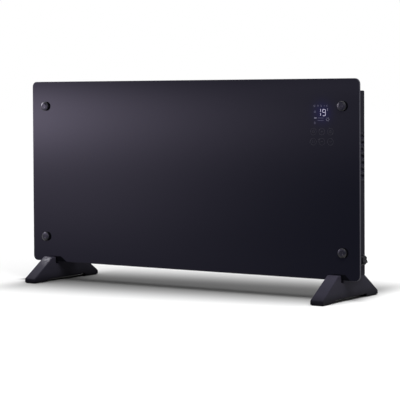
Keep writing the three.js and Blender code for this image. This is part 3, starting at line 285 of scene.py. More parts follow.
print(f"the glass is {1000 * (glass_high.y - glass_low.y):.1f} mm thick")

# %% [markdown]
# ## Painted, moulded and bare surfaces
# Powder paint has a fine orange-peel skin, a moulding has the grain of its mould and small changes of gloss,
# and rubber is dusty and dull. All could be pictures laid on the surface, but noise and cells on the object's
# own coordinates need no unwrapping and stay sharp at any distance. A moulding's edges are rounded in the
# shader, so that a plain solid catches light along them.

# %% Powder paint and rubber
def powder_paint():
    finish = Finish("powder_paint", {"Specular IOR Level": 0.05})
    peel = finish.noise(900, 3)
    cloud = finish.noise(14, 3)
    finish.feed("Base Color", finish.mixed(cloud, (0.0166, 0.0157, 0.0222), (0.0235, 0.0222, 0.031)))
    finish.feed("Roughness", finish.spread(peel, 0.42, 0.62))
    finish.bump(peel, 0.06 * MM)
    return finish


def soft_rubber():
    finish = Finish("rubber", {"Specular IOR Level": 0.06})
    dust = finish.noise(140, 4)
    finish.feed("Base Color", finish.mixed(dust, (0.009, 0.009, 0.01), (0.02, 0.02, 0.021)))
    finish.feed("Roughness", finish.spread(dust, 0.75, 0.95))
    finish.bump(finish.noise(1100, 2), 0.06 * MM)
    return finish


print("powder paint and rubber are defined")

# %% Moulded plastic
CLOUD_LOW, CLOUD_HIGH = 0.86, 1.14


def clouded(finish, shade, low=CLOUD_LOW, high=CLOUD_HIGH):
    """A colour with soft clouds, between two shares of it."""
    return finish.mixed(finish.noise(22, 4), tinted(shade, low), tinted(shade, high))


def moulded(name, shade, grain, rough, specular=0.02, rounding=0.6 * MM, colour=clouded):
    finish = Finish(name, {"Specular IOR Level": specular})
    finish.feed("Base Color", colour(finish, shade))
    finish.feed("Roughness", finish.spread(finish.noise(60, 3), *rough))
    finish.bump(finish.cells(grain), 0.05 * MM, rounding)
    return finish


print(f"a moulding's clouds go from {CLOUD_LOW} to {CLOUD_HIGH} of its colour")

# %% [markdown]
# Two mouldings have light and shade painted into their colour. The end caps are painted paler behind their
# louvre openings, as painted light against the shade inside them, and the feet are painted darker towards the
# sole and paler at the top, as painted shade below and painted light from above. Each could be two materials
# on one piece, but that needs a cut in the packed mesh, while a soft step along one coordinate gives the
# change on the solid as it is.

# %% The end caps' and the feet's colours, with painted light and shade
LOUVRE_PAINTED_LIGHT = (3.6, 4.2)
CAP_SKIN = (1.0 * MM, 2.0 * MM)
FOOT_SOLE_SHARE, FOOT_LOW_SHARE, FOOT_HIGH_SHARE = 0.24, 0.66, 0.32
FOOT_LOW, FOOT_HIGH = (0, 26 * MM), (22 * MM, 60 * MM)
FOOT_LIT_CROWN = FOOT_SOLE_SHARE + FOOT_LOW_SHARE + FOOT_HIGH_SHARE


def cap_painted_light(finish, shade):
    """The end caps' plastic, painted paler inside the cap's outer face, as painted light where shade falls in
    the louvre openings.
    """
    x, _, _ = finish.xyz()
    cap_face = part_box("right_end_cap")[1][0]
    # painted light: the surfaces behind the louvre openings are painted paler, in place of light reaching into
    # them
    inside = finish.smooth(cap_face - abs(x), *CAP_SKIN)
    return finish.mixed(inside, clouded(finish, shade), clouded(finish, shade, *LOUVRE_PAINTED_LIGHT))


def foot_painted_shade(finish, shade):
    """The feet's plastic with painted shade and light: painted darker in one step just above the sole and a
    slower one higher up, and painted paler at the top as light from above.
    """
    _, _, z = finish.xyz()
    # painted shade towards the sole and painted light at the top, as soft steps along z
    low, high = finish.smooth(z, *FOOT_LOW), finish.smooth(z, *FOOT_HIGH)
    shade_by_height = low * FOOT_LOW_SHARE + high * FOOT_HIGH_SHARE + FOOT_SOLE_SHARE
    lit_crown = clouded(finish, shade, CLOUD_LOW * FOOT_LIT_CROWN, CLOUD_HIGH * FOOT_LIT_CROWN)
    return finish.mixed(shade_by_height * (1 / FOOT_LIT_CROWN), (0.0, 0.0, 0.0), lit_crown)


print(f"a foot's crown has {FOOT_LIT_CROWN:.2f} of its plastic's colour, its sole {FOOT_SOLE_SHARE:.2f}")

# %% [markdown]
# The knobs are turned on a lathe before they are painted, so faint rings show through the paint. The four
# stand at mirrored places, so a point's distance from its own knob's middle takes one sum for all of them.

# %% The knobs' turned paint
knob_boxes = [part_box("glass_knob_" + corner) for corner in ("bottom_left", "top_right")]
(_, _, low_knob_z), (knob_x, _, high_knob_z) = ((Vector(low) + Vector(high)) / 2 for low, high in knob_boxes)


def turned_paint():
    """Satin paint with faint rings round each knob's own middle. The four knobs mirror each other."""
    finish = Finish("knob_paint", {"Specular IOR Level": 0.35})
    x, _, z = finish.xyz()
    from_x = abs(x) - knob_x
    from_z = abs(z - (high_knob_z + low_knob_z) / 2) - (high_knob_z - low_knob_z) / 2
    radius = (from_x * from_x + from_z * from_z).root()
    rings = finish.noise(1, 2, finish.vector(radius * 2600, 0, 0))
    finish.feed("Base Color", finish.mixed(rings, (0.007, 0.0065, 0.009), (0.013, 0.012, 0.016)))
    finish.feed("Roughness", finish.spread(rings, 0.24, 0.36))
    finish.bump(rings, 0.02 * MM)
    return finish


print(f"the knobs sit {1000 * knob_x:.1f} mm from the middle, at {low_knob_z:.3f} and {high_knob_z:.3f} m")

# %% [markdown]
# Zinc plating shows pale crystals, rolled aluminium shows streaks along its length, and turned brass shows
# the fine cuts of the tool. Stretching the coordinates before the noise makes streaks of plain noise.

# %% Bare metals
def zinc():
    finish = Finish("zinc", {"Metallic": 1.0})
    flakes = finish.cells(120, output="Color")
    stain = finish.noise(35, 4)
    shade = finish.mixed(flakes, (0.42, 0.43, 0.44), (0.6, 0.61, 0.62))
    finish.feed("Base Color", finish.mixed(stain, shade, (0.46, 0.45, 0.42)))
    finish.feed("Roughness", finish.spread(stain, 0.28, 0.5))
    finish.bump(finish.noise(800, 2), 0.02 * MM)
    return finish


def aluminium(name, rough):
    finish = Finish(name, {"Metallic": 1.0})
    x, y, z = finish.xyz()
    streaks = finish.noise(1, 3, finish.vector(x * 8, y * 1800, z * 1800))
    film = finish.noise(18, 4)
    shade = finish.mixed(streaks, (0.6, 0.61, 0.63), (0.78, 0.79, 0.8))
    finish.feed("Base Color", finish.mixed(film * 0.5, shade, (0.5, 0.47, 0.44)))
    finish.feed("Roughness", finish.spread(streaks, *rough))
    finish.bump(streaks, 0.02 * MM)
    return finish


def brass():
    finish = Finish("brass", {"Metallic": 1.0})
    x, _, _ = finish.xyz()
    cuts = finish.noise(1, 2, finish.vector(x * 3000, 0, 0))
    tarnish = finish.noise(160, 4)
    finish.feed("Base Color", finish.mixed(tarnish, (0.62, 0.42, 0.14), (0.42, 0.27, 0.09)))
    finish.feed("Roughness", finish.spread(cuts, 0.22, 0.4))
    finish.bump(cuts, 0.02 * MM)
    return finish


print("zinc, aluminium and brass are defined")

# %% [markdown]
# Little of the inside shows past the louvres and grilles, but it is dressed too. Steatite has fine open
# pores. A board is green, its copper tracks show paler under the green, and its parts are dark plastic in
# front of it. One material serves a whole board, because the depth along Y tells the board from the parts.

# %% Ceramic and circuit boards
def steatite():
    finish = Finish("steatite", {"Specular IOR Level": 0.4})
    pores = finish.smooth(finish.cells(900), 0.0, 0.25)
    tone = finish.mixed(finish.noise(120, 3), (0.66, 0.6, 0.5), (0.78, 0.74, 0.65))
    finish.feed("Base Color", finish.mixed(pores, (0.45, 0.4, 0.33), tone))
    finish.feed("Roughness", finish.spread(pores, 0.75, 0.5))
    finish.bump(pores, 0.05 * MM)
    return finish


def circuit_board(name, board_y):
    """Green board with paler tracks at its own depth, and dark parts in front of it."""
    finish = Finish(name, {"Specular IOR Level": 0.5})
    x, y, z = finish.xyz()
    columns = finish.cells(240, finish.vector(x, 0, z * 0.25), "Color")
    tracks = finish.smooth(abs((x * 310 + columns * 2).part() - 0.5), 0.3, 0.34)
    mask = finish.mixed(tracks, (0.008, 0.075, 0.03), (0.014, 0.13, 0.055))
    parts = finish.mixed(finish.noise(45, 0), (0.016, 0.016, 0.018), (0.11, 0.1, 0.09))
    in_front = finish.smooth(board_y - y, 0.1 * MM, 0.3 * MM)
    finish.feed("Base Color", finish.mixed(in_front, mask, parts))
    finish.feed("Roughness", finish.spread(finish.noise(300, 2), 0.3, 0.5))
    finish.bump(tracks, 0.03 * MM)
    return finish


DISPLAY_BOARD_THICK = 1.6 * MM
CONTROL_BOARD_SETBACK = 14 * MM
display_board_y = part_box("display_board")[1][1] - DISPLAY_BOARD_THICK
control_board_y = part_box("control_board")[1][1] - CONTROL_BOARD_SETBACK
print(f"the boards face forwards at y = {display_board_y:.4f} and {control_board_y:.4f}")

# %% [markdown]
# Leads near the heating elements wear woven sleeves, and the ribbon cable has a row of fine wires. Both
# patterns are the part of a coordinate after its whole number, which repeats evenly without any texture.

# %% Leads and the ribbon cable
def sleeved(name, shade):
    """Woven glass-fibre sleeving over a lead: two crossed sets of fine ribs."""
    finish = Finish(name, {"Specular IOR Level": 0.3})
    x, y, z = finish.xyz()
    one = abs(((x + y + z) * 900).part() - 0.5)
    other = abs(((x - y - z) * 900).part() - 0.5)
    weave = one + other
    finish.feed("Base Color", finish.mixed(weave, tinted(shade, 0.55), shade))
    finish.feed("Roughness", finish.spread(finish.noise(200, 2), 0.6, 0.8))
    finish.bump(weave, 0.15 * MM)
    return finish


def ribbon():
    finish = Finish("ribbon", {"Specular IOR Level": 0.4})
    x, _, _ = finish.xyz()
    wires = abs((x * 790).part() - 0.5)
    finish.feed("Base Color", finish.mixed(wires, (0.16, 0.16, 0.17), (0.42, 0.42, 0.43)))
    finish.feed("Roughness", finish.spread(finish.noise(150, 2), 0.4, 0.6))
    finish.bump(wires, 0.2 * MM)
    return finish


print("leads and the ribbon cable are defined")

# %% [markdown]
# The display's marks shine through the glass, so their colour is emission and hardly depends on the lamps.
# The touch keys are only printed, in a grey that shows when light falls on the glass.

# %% Light from the display, and printed marks
def lit(name, shade, dim):
    """A lamp seen through the glass: bright in its middle, and a little uneven."""
    finish = Finish(name, {"Roughness": 0.3, "Emission Strength": 1.0})
    unevenness = finish.noise(500, 2)
    finish.feed("Base Color", finish.mixed(unevenness, (0.01, 0.01, 0.012), (0.016, 0.016, 0.02)))
    finish.feed("Emission Color", finish.mixed(unevenness, tinted(shade, dim), shade))
    return finish


def printed():
    finish = Finish("printed_grey", {"Specular IOR Level": 0.3})
    speck = finish.noise(2500, 2)
    finish.feed("Base Color", finish.mixed(speck, (0.014, 0.014, 0.017), (0.024, 0.024, 0.028)))
    finish.feed("Roughness", finish.spread(speck, 0.4, 0.6))
    return finish


print("display light and print are defined")

# %% [markdown]
# ## Dressing the solids
# Each solid gets the finish of what it is made of. Names that begin alike share one, and the first match in
# the list counts. Only the material slots change: a solid's mesh and place stay as packed.

# %% Finishes that several solids share
CASE_SHADE = (0.0156, 0.0147, 0.0222)
FOOT_SHADE = (0.0352, 0.033, 0.0475)
SWITCH_SHADE = (0.013, 0.0125, 0.016)
satin_black = moulded("satin_moulding", CASE_SHADE, 900, (0.42, 0.6))
cap_plastic = moulded("end_cap_moulding", CASE_SHADE, 1100, (0.4, 0.58), rounding=1.6 * MM, colour=cap_painted_light)
foot_plastic = moulded("foot_moulding", FOOT_SHADE, 800, (0.36, 0.5), rounding=3 * MM, colour=foot_painted_shade)
switch_plastic = moulded("switch_moulding", SWITCH_SHADE, 2000, (0.3, 0.42), specular=0.03)
case_paint = powder_paint()
knob_paint = turned_paint()
rubber_finish = soft_rubber()
zinc_finish = zinc()
ceramic_finish = steatite()
print(f"the feet's blue is {FOOT_SHADE[2] / FOOT_SHADE[0]:.2f} times their red")

# %% Give every solid its finish
dressing = [
    ("glass_panel", black_glass()),
    ("glass_knob", knob_paint),
    ("glass_grommet", rubber_finish),
    ("glass_standoff", zinc_finish),
    ("front_plate", case_paint),
    ("rear_cover", case_paint),
    ("outlet_grille", satin_black),
    ("left_end_cap", cap_plastic),
    ("right_end_cap", cap_plastic),
    ("heat_shield", aluminium("shield_aluminium", (0.22, 0.42))),
    ("element_fins", aluminium("finned_aluminium", (0.35, 0.55))),
    ("element_", zinc_finish),
    ("bulkhead", zinc_finish),
    ("thermal_cutout", zinc_finish),
    ("ceramic", ceramic_finish),
    ("terminal_block", ceramic_finish),
    ("display_board", circuit_board("display_board", display_board_y)),
    ("control_board", circuit_board("control_board", control_board_y)),
    ("display_frame", satin_black),
    ("tip_switch_body", satin_black),
    ("tip_switch_pendulum", brass()),
    ("cord_gland", satin_black),
    ("gland_nut", satin_black),
    ("room_sensor", satin_black),
    ("rocker", switch_plastic),
    ("foot_pad", rubber_finish),
    ("foot_screw", zinc_finish),
    ("foot_", foot_plastic),
    ("lead_live", sleeved("live_sleeve", (0.09, 0.03, 0.012))),
    ("lead_switched", sleeved("switched_sleeve", (0.03, 0.03, 0.032))),
    ("lead_neutral", sleeved("neutral_sleeve", (0.015, 0.05, 0.3))),
    ("lead_element", sleeved("element_sleeve", (0.6, 0.57, 0.5))),
    ("lead_cutout", sleeved("cutout_sleeve", (0.35, 0.03, 0.02))),
    ("ribbon_cable", ribbon()),
]
for name, solid in solids.items():
    finish = next(made for start, made in dressing if name.startswith(start))
    solid.data.materials.clear()
    solid.data.materials.append(finish.material)
print(f"{len(solids)} solids dressed with {len({made.material.name for _, made in dressing})} finishes")

# %% [markdown]
# ## Ways of working
# An operator acts on everything that is selected, so each piece starts with nothing selected. Faces are
# picked in code by the way they look. A modifier is applied at once, so that the mesh is final.

# %% Helpers for modelling
FACING = 0.9
SMOOTH_ANGLE = math.radians(40)
FRONT, BACK, OUTWARDS = Vector((0, -1, 0)), Vector((0, 1, 0)), Vector((1, 0, 0))


def nothing_selected():
    bpy.ops.object.select_all(action="DESELECT")


def only_selected(made):
    nothing_selected()
    made.select_set(True)
    bpy.context.view_layer.objects.active = made


def named(name, finish):
    """Names the piece just made, settles its place into its mesh, and gives it its finish."""
    made = bpy.context.object
    made.name = made.data.name = name
    bpy.ops.object.transform_apply(location=True, rotation=True, scale=True)
    made.data.materials.clear()
    made.data.materials.append(finish.material)
    return made


def pick_faces(made, way):
    """In edit mode, selects the faces that look a certain way."""
    bpy.ops.mesh.select_mode(type="FACE")
    mesh = bmesh.from_edit_mesh(made.data)
    for face in mesh.faces:
        face.select_set(face.normal.dot(way) > FACING)
    bmesh.update_edit_mesh(made.data)


def modified(made, kind, **settings):
    """Adds a modifier with its settings and applies it."""
    bpy.context.view_layer.objects.active = made
    bpy.ops.object.modifier_add(type=kind)
    modifier = made.modifiers[-1]
    for key, value in settings.items():
        setattr(modifier, key, value)
    bpy.ops.object.modifier_apply(modifier=modifier.name)


def soft_edges(made, width, segments=3, angle=30):
    """Rounds the edges that are sharper than an angle in degrees, and shades the piece smooth."""
    bend = math.radians(angle)
    modified(made, "BEVEL", width=width, segments=segments, limit_method="ANGLE", angle_limit=bend)
    only_selected(made)
    bpy.ops.object.shade_smooth_by_angle(angle=SMOOTH_ANGLE)


def copied(made, name, offset, turn=None):
    """A copy with a mesh of its own, turned about the piece's first place and then moved."""
    twin = made.copy()
    twin.data = made.data.copy()
    twin.name = twin.data.name = name
    if turn:
        twin.data.transform(turn)
    twin.data.transform(Matrix.Translation(offset))
    bpy.context.collection.objects.link(twin)
    return twin


def belongs(made, body=BODY, stands_for=None):
    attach(made, body)
    if stands_for:
        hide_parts(stands_for)


print("modelling helpers are defined")

# %% [markdown]
# ## The glass knobs
# A knob is a turned cap on a stud that passes through the glass. Its front is crowned in two steps, and its
# middle is slightly sunk. It could be a turned profile, but a cylinder whose front is extruded and drawn in
# shows each step, and a small bevel afterwards gives every edge the thin highlight of real paint. One knob
# is modelled, the other three are copies, and each stands for the plain knob of its corner.

# %% Model one knob
KNOB_RADIUS = 10.8 * MM
KNOB_CROWN = ((1.5 * MM, 1.2 * MM), (1.7 * MM, 3.6 * MM))
KNOB_DISH_RADIUS = 3.8 * MM
KNOB_DISH = 0.5 * MM
DISH_CENTRE_SHARES = (1 / 2, 1 / 3)
KNOB_EDGE = 0.9 * MM
STUD_RADIUS = 2.5 * MM
GROMMET_FLANGE = 1.8 * MM


def model_knob():
    low, high = (Vector(corner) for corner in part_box("glass_knob_bottom_left"))
    x, _, z = (low + high) / 2
    cap_back = GLASS_FRONT - GROMMET_FLANGE
    side_depth = cap_back - low.y - sum(forwards for forwards, _ in KNOB_CROWN)
    nothing_selected()
    bpy.ops.mesh.primitive_cylinder_add(
        vertices=64,
        radius=KNOB_RADIUS,
        depth=side_depth,
        location=(x, cap_back - side_depth / 2, z),
        rotation=(math.pi / 2, 0, 0),
    )
    made = named("knob_bottom_left", knob_paint)
    bpy.ops.object.mode_set(mode="EDIT")

    def draw_in(radius, inwards):
        share = (radius - inwards) / radius
        bpy.ops.transform.resize(value=(share, 1, share), center_override=(x, 0, z))
        return radius - inwards

    pick_faces(made, FRONT)
    radius = KNOB_RADIUS
    for forwards, inwards in KNOB_CROWN:
        bpy.ops.mesh.extrude_region_move(TRANSFORM_OT_translate={"value": (0, -forwards, 0)})
        radius = draw_in(radius, inwards)
    bpy.ops.mesh.inset(thickness=radius - KNOB_DISH_RADIUS)
    bpy.ops.mesh.extrude_region_move(TRANSFORM_OT_translate={"value": (0, KNOB_DISH, 0)})
    draw_in(KNOB_DISH_RADIUS, KNOB_DISH)
    inset_share, rise_share = DISH_CENTRE_SHARES
    bpy.ops.mesh.inset(thickness=KNOB_DISH_RADIUS * inset_share)
    bpy.ops.transform.translate(value=(0, -KNOB_DISH * rise_share, 0))
    pick_faces(made, BACK)
    bpy.ops.mesh.inset(thickness=KNOB_RADIUS - STUD_RADIUS)
    bpy.ops.mesh.extrude_region_move(TRANSFORM_OT_translate={"value": (0, high.y - cap_back, 0)})
    bpy.ops.object.mode_set(mode="OBJECT")
    soft_edges(made, KNOB_EDGE, 6, 20)
    return made, low


first_knob, first_low = model_knob()
belongs(first_knob, stands_for="glass_knob_bottom_left")
print(f"a knob has {len(first_knob.data.polygons)} faces")

# %% Copy the knob to the other corners
for corner in ("bottom_right", "top_left", "top_right"):
    node = "glass_knob_" + corner
    twin = copied(first_knob, "knob_" + corner, Vector(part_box(node)[0]) - first_low)
    belongs(twin, stands_for=node)
    print(twin.name, "stands for", node)

# %% [markdown]
# ## Digits, icons and touch keys
# The display is a lamp block behind a clear window in the back paint, so its digits and icons are as flat as
# the glass. The touch keys are thin printed rings with a mark in each. They could be a picture on the glass,
# but strokes stay sharp and are pieces of the heater. A stroke is a curve through a few points with a round
# section, flattened until it lies like a film on the glass's front.

# %% Strokes on the glass
STROKE_LIFT = 0.05 * MM
STROKE_FLATTENED = 0.12


def arc(x, z, radius, start, end, count=24):
    """Points on an arc in millimetres, its angles in degrees, counted from the right and upwards."""
    turns = [math.radians(start + (end - start) * i / count) for i in range(count + 1)]
    return [(x + radius * math.cos(turn), z + radius * math.sin(turn)) for turn in turns]


def strokes(name, lines, width, finish):
    """One flat piece made of lines: lists of (x, z) in millimetres, with z counted from the glass's top."""
    curve = bpy.data.curves.new(name, "CURVE")
    curve.dimensions = "3D"
    curve.bevel_depth = width * MM / 2
    curve.bevel_resolution = 2
    curve.use_fill_caps = True
    for line in lines:
        spline = curve.splines.new("POLY")
        spline.points.add(len(line) - 1)
        for point, (x, z) in zip(spline.points, line):
            point.co = (x * MM, 0, z * MM, 1)
    drawn = bpy.data.objects.new(name, curve)
    bpy.context.collection.objects.link(drawn)
    only_selected(drawn)
    bpy.ops.object.convert(target="MESH")
    made = bpy.context.object
    made.scale.y = STROKE_FLATTENED
    made.location = (0, GLASS_FRONT - STROKE_LIFT, GLASS_TOP)
    made = named(name, finish)
    only_selected(made)
    bpy.ops.object.shade_smooth()
    belongs(made)


print(f"a stroke keeps {STROKE_FLATTENED:.0%} of its round section's depth")

# %% [markdown]
# The digits are lit bars with small gaps between them, as on any lamp display. Each bar could be a block, but
# a stroke can also bend, so the nine takes one stroke for its loop and one for its stem.

# %% The temperature digits
DIGIT_TOP, DIGIT_MIDDLE, DIGIT_FOOT = -65.6, -73.0, -80.3
DIGIT_WIDTH = 0.9
ONE_X = 354.9
DIM = 0.8
bright = lit("digit_light", (0.82, 0.78, 1.0), 0.85)
half_lit = lit("icon_light", (0.26, 0.25, 0.33), DIM)
soft_lit = lit("icon_soft", (0.068, 0.065, 0.11), DIM)
faint_lit = lit("icon_glow", (0.036, 0.034, 0.062), DIM)
one = [
    [(ONE_X, DIGIT_TOP), (ONE_X, DIGIT_MIDDLE + 1.7)],
    [(ONE_X, DIGIT_MIDDLE - 1.3), (ONE_X, DIGIT_FOOT + 0.6)],
]
nine_loop = [(365.6, -66.2), (361.4, -66.2), (360.2, -67.3), (360.2, -71.6), (361.3, -72.8), (365.4, -72.8)]
nine_stem = [(366.0, -66.4), (367.1, -67.4), (367.1, -78.8), (366.0, -79.9), (360.6, -79.9)]
strokes("digit_one", one, DIGIT_WIDTH, bright)
strokes("digit_nine", [nine_loop, nine_stem], DIGIT_WIDTH, bright)
strokes("degree_mark", [[(372.4, -63.6), (372.4, -69.2)]], 0.8, half_lit)
print("digits stand", round(DIGIT_TOP - DIGIT_FOOT, 1), "mm tall")

# %% [markdown]
# The icons and bars round the digits tell the heater's settings: a timer, a power sign, two arrows, a level
# of heat in short bars, and a flake for the guard against frost. They are dimmer than the digits, so groups
# that are lit alike are one piece with a weaker light.

# %% The icons above and beside the digits
ICON_ROW = -58.7
ICON_WIDTH = 1.0
top_icons = [
    arc(339.8, ICON_ROW, 1.9, 0, 360),
    [(339.8, ICON_ROW + 0.9), (339.8, ICON_ROW), (340.7, ICON_ROW)],
    arc(348.6, ICON_ROW, 1.7, -60, 240),
    [(348.6, ICON_ROW + 2.3), (348.6, ICON_ROW)],
    arc(364.4, ICON_ROW, 0.8, 0, 360, 12),
]
arrows = [
    [(355.2, ICON_ROW + 2), (357.4, ICON_ROW), (355.2, ICON_ROW - 2)],
    [(371.8, ICON_ROW + 2.2), (369.3, ICON_ROW), (371.8, ICON_ROW - 2.2)],
]
hearth = [arc(341.0, -71.9, 2.2, 0, 180), [(338.4, -72.6), (343.6, -72.6)]]
ring = [arc(341.0, -95.6, 1.8, 0, 360)]
strokes("top_icons", top_icons, ICON_WIDTH, faint_lit)
strokes("arrow_icons", arrows, 1.2, soft_lit)
strokes("hearth_icon", hearth, ICON_WIDTH, soft_lit)
strokes("ring_icon", ring, ICON_WIDTH, faint_lit)
print(f"the icons' row lies {-ICON_ROW} mm below the glass's top")

# %% The level bars and the flake
UPPER_BARS, LOWER_BARS = -84.7, -90.0
BAR_LENGTH = 2.6
FLAKE_X, FLAKE_Z = 372.5, -87.6
FLAKE_REACH = (2.4, 4.2)
level_bar = [[(339.4, UPPER_BARS), (345.0, UPPER_BARS)]]
SHORT_BARS_X = (348.0, 351.8, 355.6, 359.4)
short_bars = [[(x, z), (x + BAR_LENGTH, z)] for z in (UPPER_BARS, LOWER_BARS) for x in SHORT_BARS_X]
flake = [
    [(FLAKE_X + reach * math.cos(turn), FLAKE_Z + reach * math.sin(turn)) for reach in FLAKE_REACH]
    for turn in (math.radians(60 * i) for i in range(6))
]
strokes("level_bar", level_bar, 1.7, half_lit)
strokes("step_bars", short_bars, 1.3, soft_lit)
strokes("flake_icon", flake, 0.8, half_lit)
print(f"{len(short_bars)} short bars and a flake of {len(flake)} points")

# %% [markdown]
# A touch key has no moving part: a ring is printed on the glass over a sensor, with a mark inside it. The
# keys stand in three columns and two rows, so the rings and the marks all take their places from those.

# %% The touch keys
KEY_COLUMNS = (336.9, 358.0, 379.1)
KEY_ROWS = (-114.0, -135.7)
KEY_RADIUS = 7.2
PRINT_WIDTH = 0.8
grey_print = printed()
rings = [arc(x, z, KEY_RADIUS, 0, 360, 48) for x in KEY_COLUMNS for z in KEY_ROWS]
left_x, mid_x, right_x = KEY_COLUMNS
upper, lower = KEY_ROWS
key_marks = [
    arc(left_x, upper, 2.6, 120, 420),
    [(left_x, upper + 3.4), (left_x, upper)],
    [(mid_x - 2.8, upper), (mid_x + 2.8, upper)],
    [(mid_x, upper - 2.8), (mid_x, upper + 2.8)],
    arc(right_x, upper, 2.7, 0, 360),
    [(right_x, upper + 1.6), (right_x, upper), (right_x + 1.2, upper)],
    [(left_x - 2, lower - 2.6), (left_x - 2, lower + 2.6)],
    [(left_x + 2, lower - 2.6), (left_x + 2, lower + 2.6)],
    [(mid_x - 2.8, lower), (mid_x + 2.8, lower)],
    [(right_x - 2.6, lower + 1.2), (right_x, lower - 1.4), (right_x + 2.6, lower + 1.2)],
]
strokes("touch_rings", rings, PRINT_WIDTH, grey_print)
strokes("touch_marks", key_marks, PRINT_WIDTH, grey_print)
print(f"{len(rings)} touch keys printed")

# %% [markdown]
# ## Marks on the rocker
# A mains rocker carries a bar for on and a ring for off, moulded in a pale plastic. They could be cut into
# the paddle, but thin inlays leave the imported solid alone. They lie on the two halves of the paddle and turn
# with it, so they ride on its body.

# %% A place on the paddle
PIVOT = Vector(next(joint["pos_m"] for joint in frame["joints"] if joint["name"] == "mains_rocker"))
REST_TILT = math.radians(-12)
FACE_RISE, FACE_HALF, FACE_DISH = 7.5 * MM, 6.4 * MM, 6 * MM


def on_paddle(made, above):
    """Sets a mark, modelled flat at the origin facing +X, on the paddle's upper or lower half."""
    side = 1 if above else -1
    slope = math.atan2(FACE_RISE - FACE_DISH, FACE_HALF)
    spot = Vector(((FACE_RISE + FACE_DISH) / 2, 0, side * FACE_HALF / 2))
    made.data.transform(Matrix.Rotation(side * slope, 4, "Y"))
    made.data.transform(Matrix.Translation(spot))
    made.data.transform(Matrix.Rotation(REST_TILT, 4, "Y"))
    made.data.transform(Matrix.Translation(PIVOT))
    belongs(made, "switch_rocker")


print("the paddle turns about", [round(value, 4) for value in PIVOT])

# %% The rocker's bar and ring
BAR_SIZE = (0.2 * MM, 1.0 * MM, 4.2 * MM)
BAR_EDGE = 0.06 * MM
RING_RADIUS, RING_THICKNESS, RING_FLATTENED = 1.7 * MM, 0.4 * MM, 0.3
pale_plastic = moulded("pale_inlay", (0.11, 0.11, 0.12), 1500, (0.4, 0.5))

nothing_selected()
bpy.ops.mesh.primitive_cube_add(size=1, scale=BAR_SIZE)
rocker_bar = named("rocker_bar", pale_plastic)
soft_edges(rocker_bar, BAR_EDGE, 2)
on_paddle(rocker_bar, True)

nothing_selected()
bpy.ops.mesh.primitive_torus_add(
    major_radius=RING_RADIUS,
    minor_radius=RING_THICKNESS,
    major_segments=40,
    minor_segments=10,
    rotation=(0, math.pi / 2, 0),
)
bpy.context.object.scale = (1, 1, RING_FLATTENED)
rocker_ring = named("rocker_ring", pale_plastic)
bpy.ops.object.shade_smooth()
on_paddle(rocker_ring, False)
print("the rocker's marks have", len(rocker_bar.data.polygons) + len(rocker_ring.data.polygons), "faces")

# %% [markdown]
# ## Louvre lips
# The bars between the louvre openings carry small sloping lips that keep drips out and catch the light from
# above. One lip starts as a block, its outer face is made smaller and moved down, and its edges are rounded.
# An array repeats it up the cap, and the other cap gets a copy that is turned round.

# %% Model the lips of one end cap
LIP_PROUD, LIP_TALL, LIP_SUNK = 2.2 * MM, 5.4 * MM, 0.3 * MM
LIP_FACE_SHARES = (1, 0.97, 0.3)
LIP_SLOPE_SHARE = 0.3
LIP_EDGE = 0.5 * MM
LOUVRE_COUNT = 7
LOUVRE_PITCH, LOUVRE_OPENING = 14.4 * MM, 7 * MM
LOUVRE_DROP = 189.5 * MM
LOUVRE_FRONT_INSET, LOUVRE_REAR_INSET = 11 * MM, 4.4 * MM
cap_low, cap_high = (Vector(corner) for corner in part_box("right_end_cap"))
lip_front, lip_rear = cap_low.y + LOUVRE_FRONT_INSET, cap_high.y - LOUVRE_REAR_INSET
lip_y = (lip_front + lip_rear) / 2


def model_lips():
    bar_middle = cap_high.z - LOUVRE_DROP - (LOUVRE_PITCH - LOUVRE_OPENING) / 2
    outer_x = cap_high.x + LIP_PROUD
    depth = LIP_PROUD + LIP_SUNK
    nothing_selected()
    bpy.ops.mesh.primitive_cube_add(
        size=1,
        location=(outer_x - depth / 2, lip_y, bar_middle),
        scale=(depth, lip_rear - lip_front, LIP_TALL),
    )
    made = named("louvre_lips_right", cap_plastic)
    bpy.ops.object.mode_set(mode="EDIT")
    pick_faces(made, OUTWARDS)
    bpy.ops.transform.resize(value=LIP_FACE_SHARES, center_override=(outer_x, lip_y, bar_middle))
    bpy.ops.transform.translate(value=(0, 0, -LIP_SLOPE_SHARE * LIP_TALL))
    bpy.ops.object.mode_set(mode="OBJECT")
    soft_edges(made, LIP_EDGE)
    modified(
        made,
        "ARRAY",
        count=LOUVRE_COUNT + 1,
        use_relative_offset=False,
        use_constant_offset=True,
        constant_offset_displace=(0, 0, LOUVRE_PITCH),
    )
    return made


lips = model_lips()
belongs(lips)
print(f"{LOUVRE_COUNT + 1} louvre lips, {len(lips.data.polygons)} faces")

# %% Copy the lips to the other end cap
half_turn = Matrix.Rotation(math.pi, 4, "Z")
other_lips = copied(lips, "louvre_lips_left", Vector((0, 2 * lip_y, 0)), half_turn)
belongs(other_lips)
print(other_lips.name, "is set")

# %% [markdown]
# ## Casing screws
# Small cross-head screws hold the rear cover to the end caps. A bevel could only round a head's rim, so the
# cross is cut with two bars by a boolean after the bevel, and its edges stay sharp as a punched cross's are.
# One screw is modelled at the origin, and the rest are copies.

# %% Model one screw
SCREW_RADIUS, SCREW_HEAD = 3.4 * MM, 1.9 * MM
SCREW_EDGE = 0.8 * MM
CROSS_WIDTH, CROSS_LENGTH = 0.9 * MM, 3.8 * MM
CROSS_ABOVE = 0.6 * MM
cap_inner_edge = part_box("left_end_cap")[1]
CASE_BACK = cap_inner_edge[1]


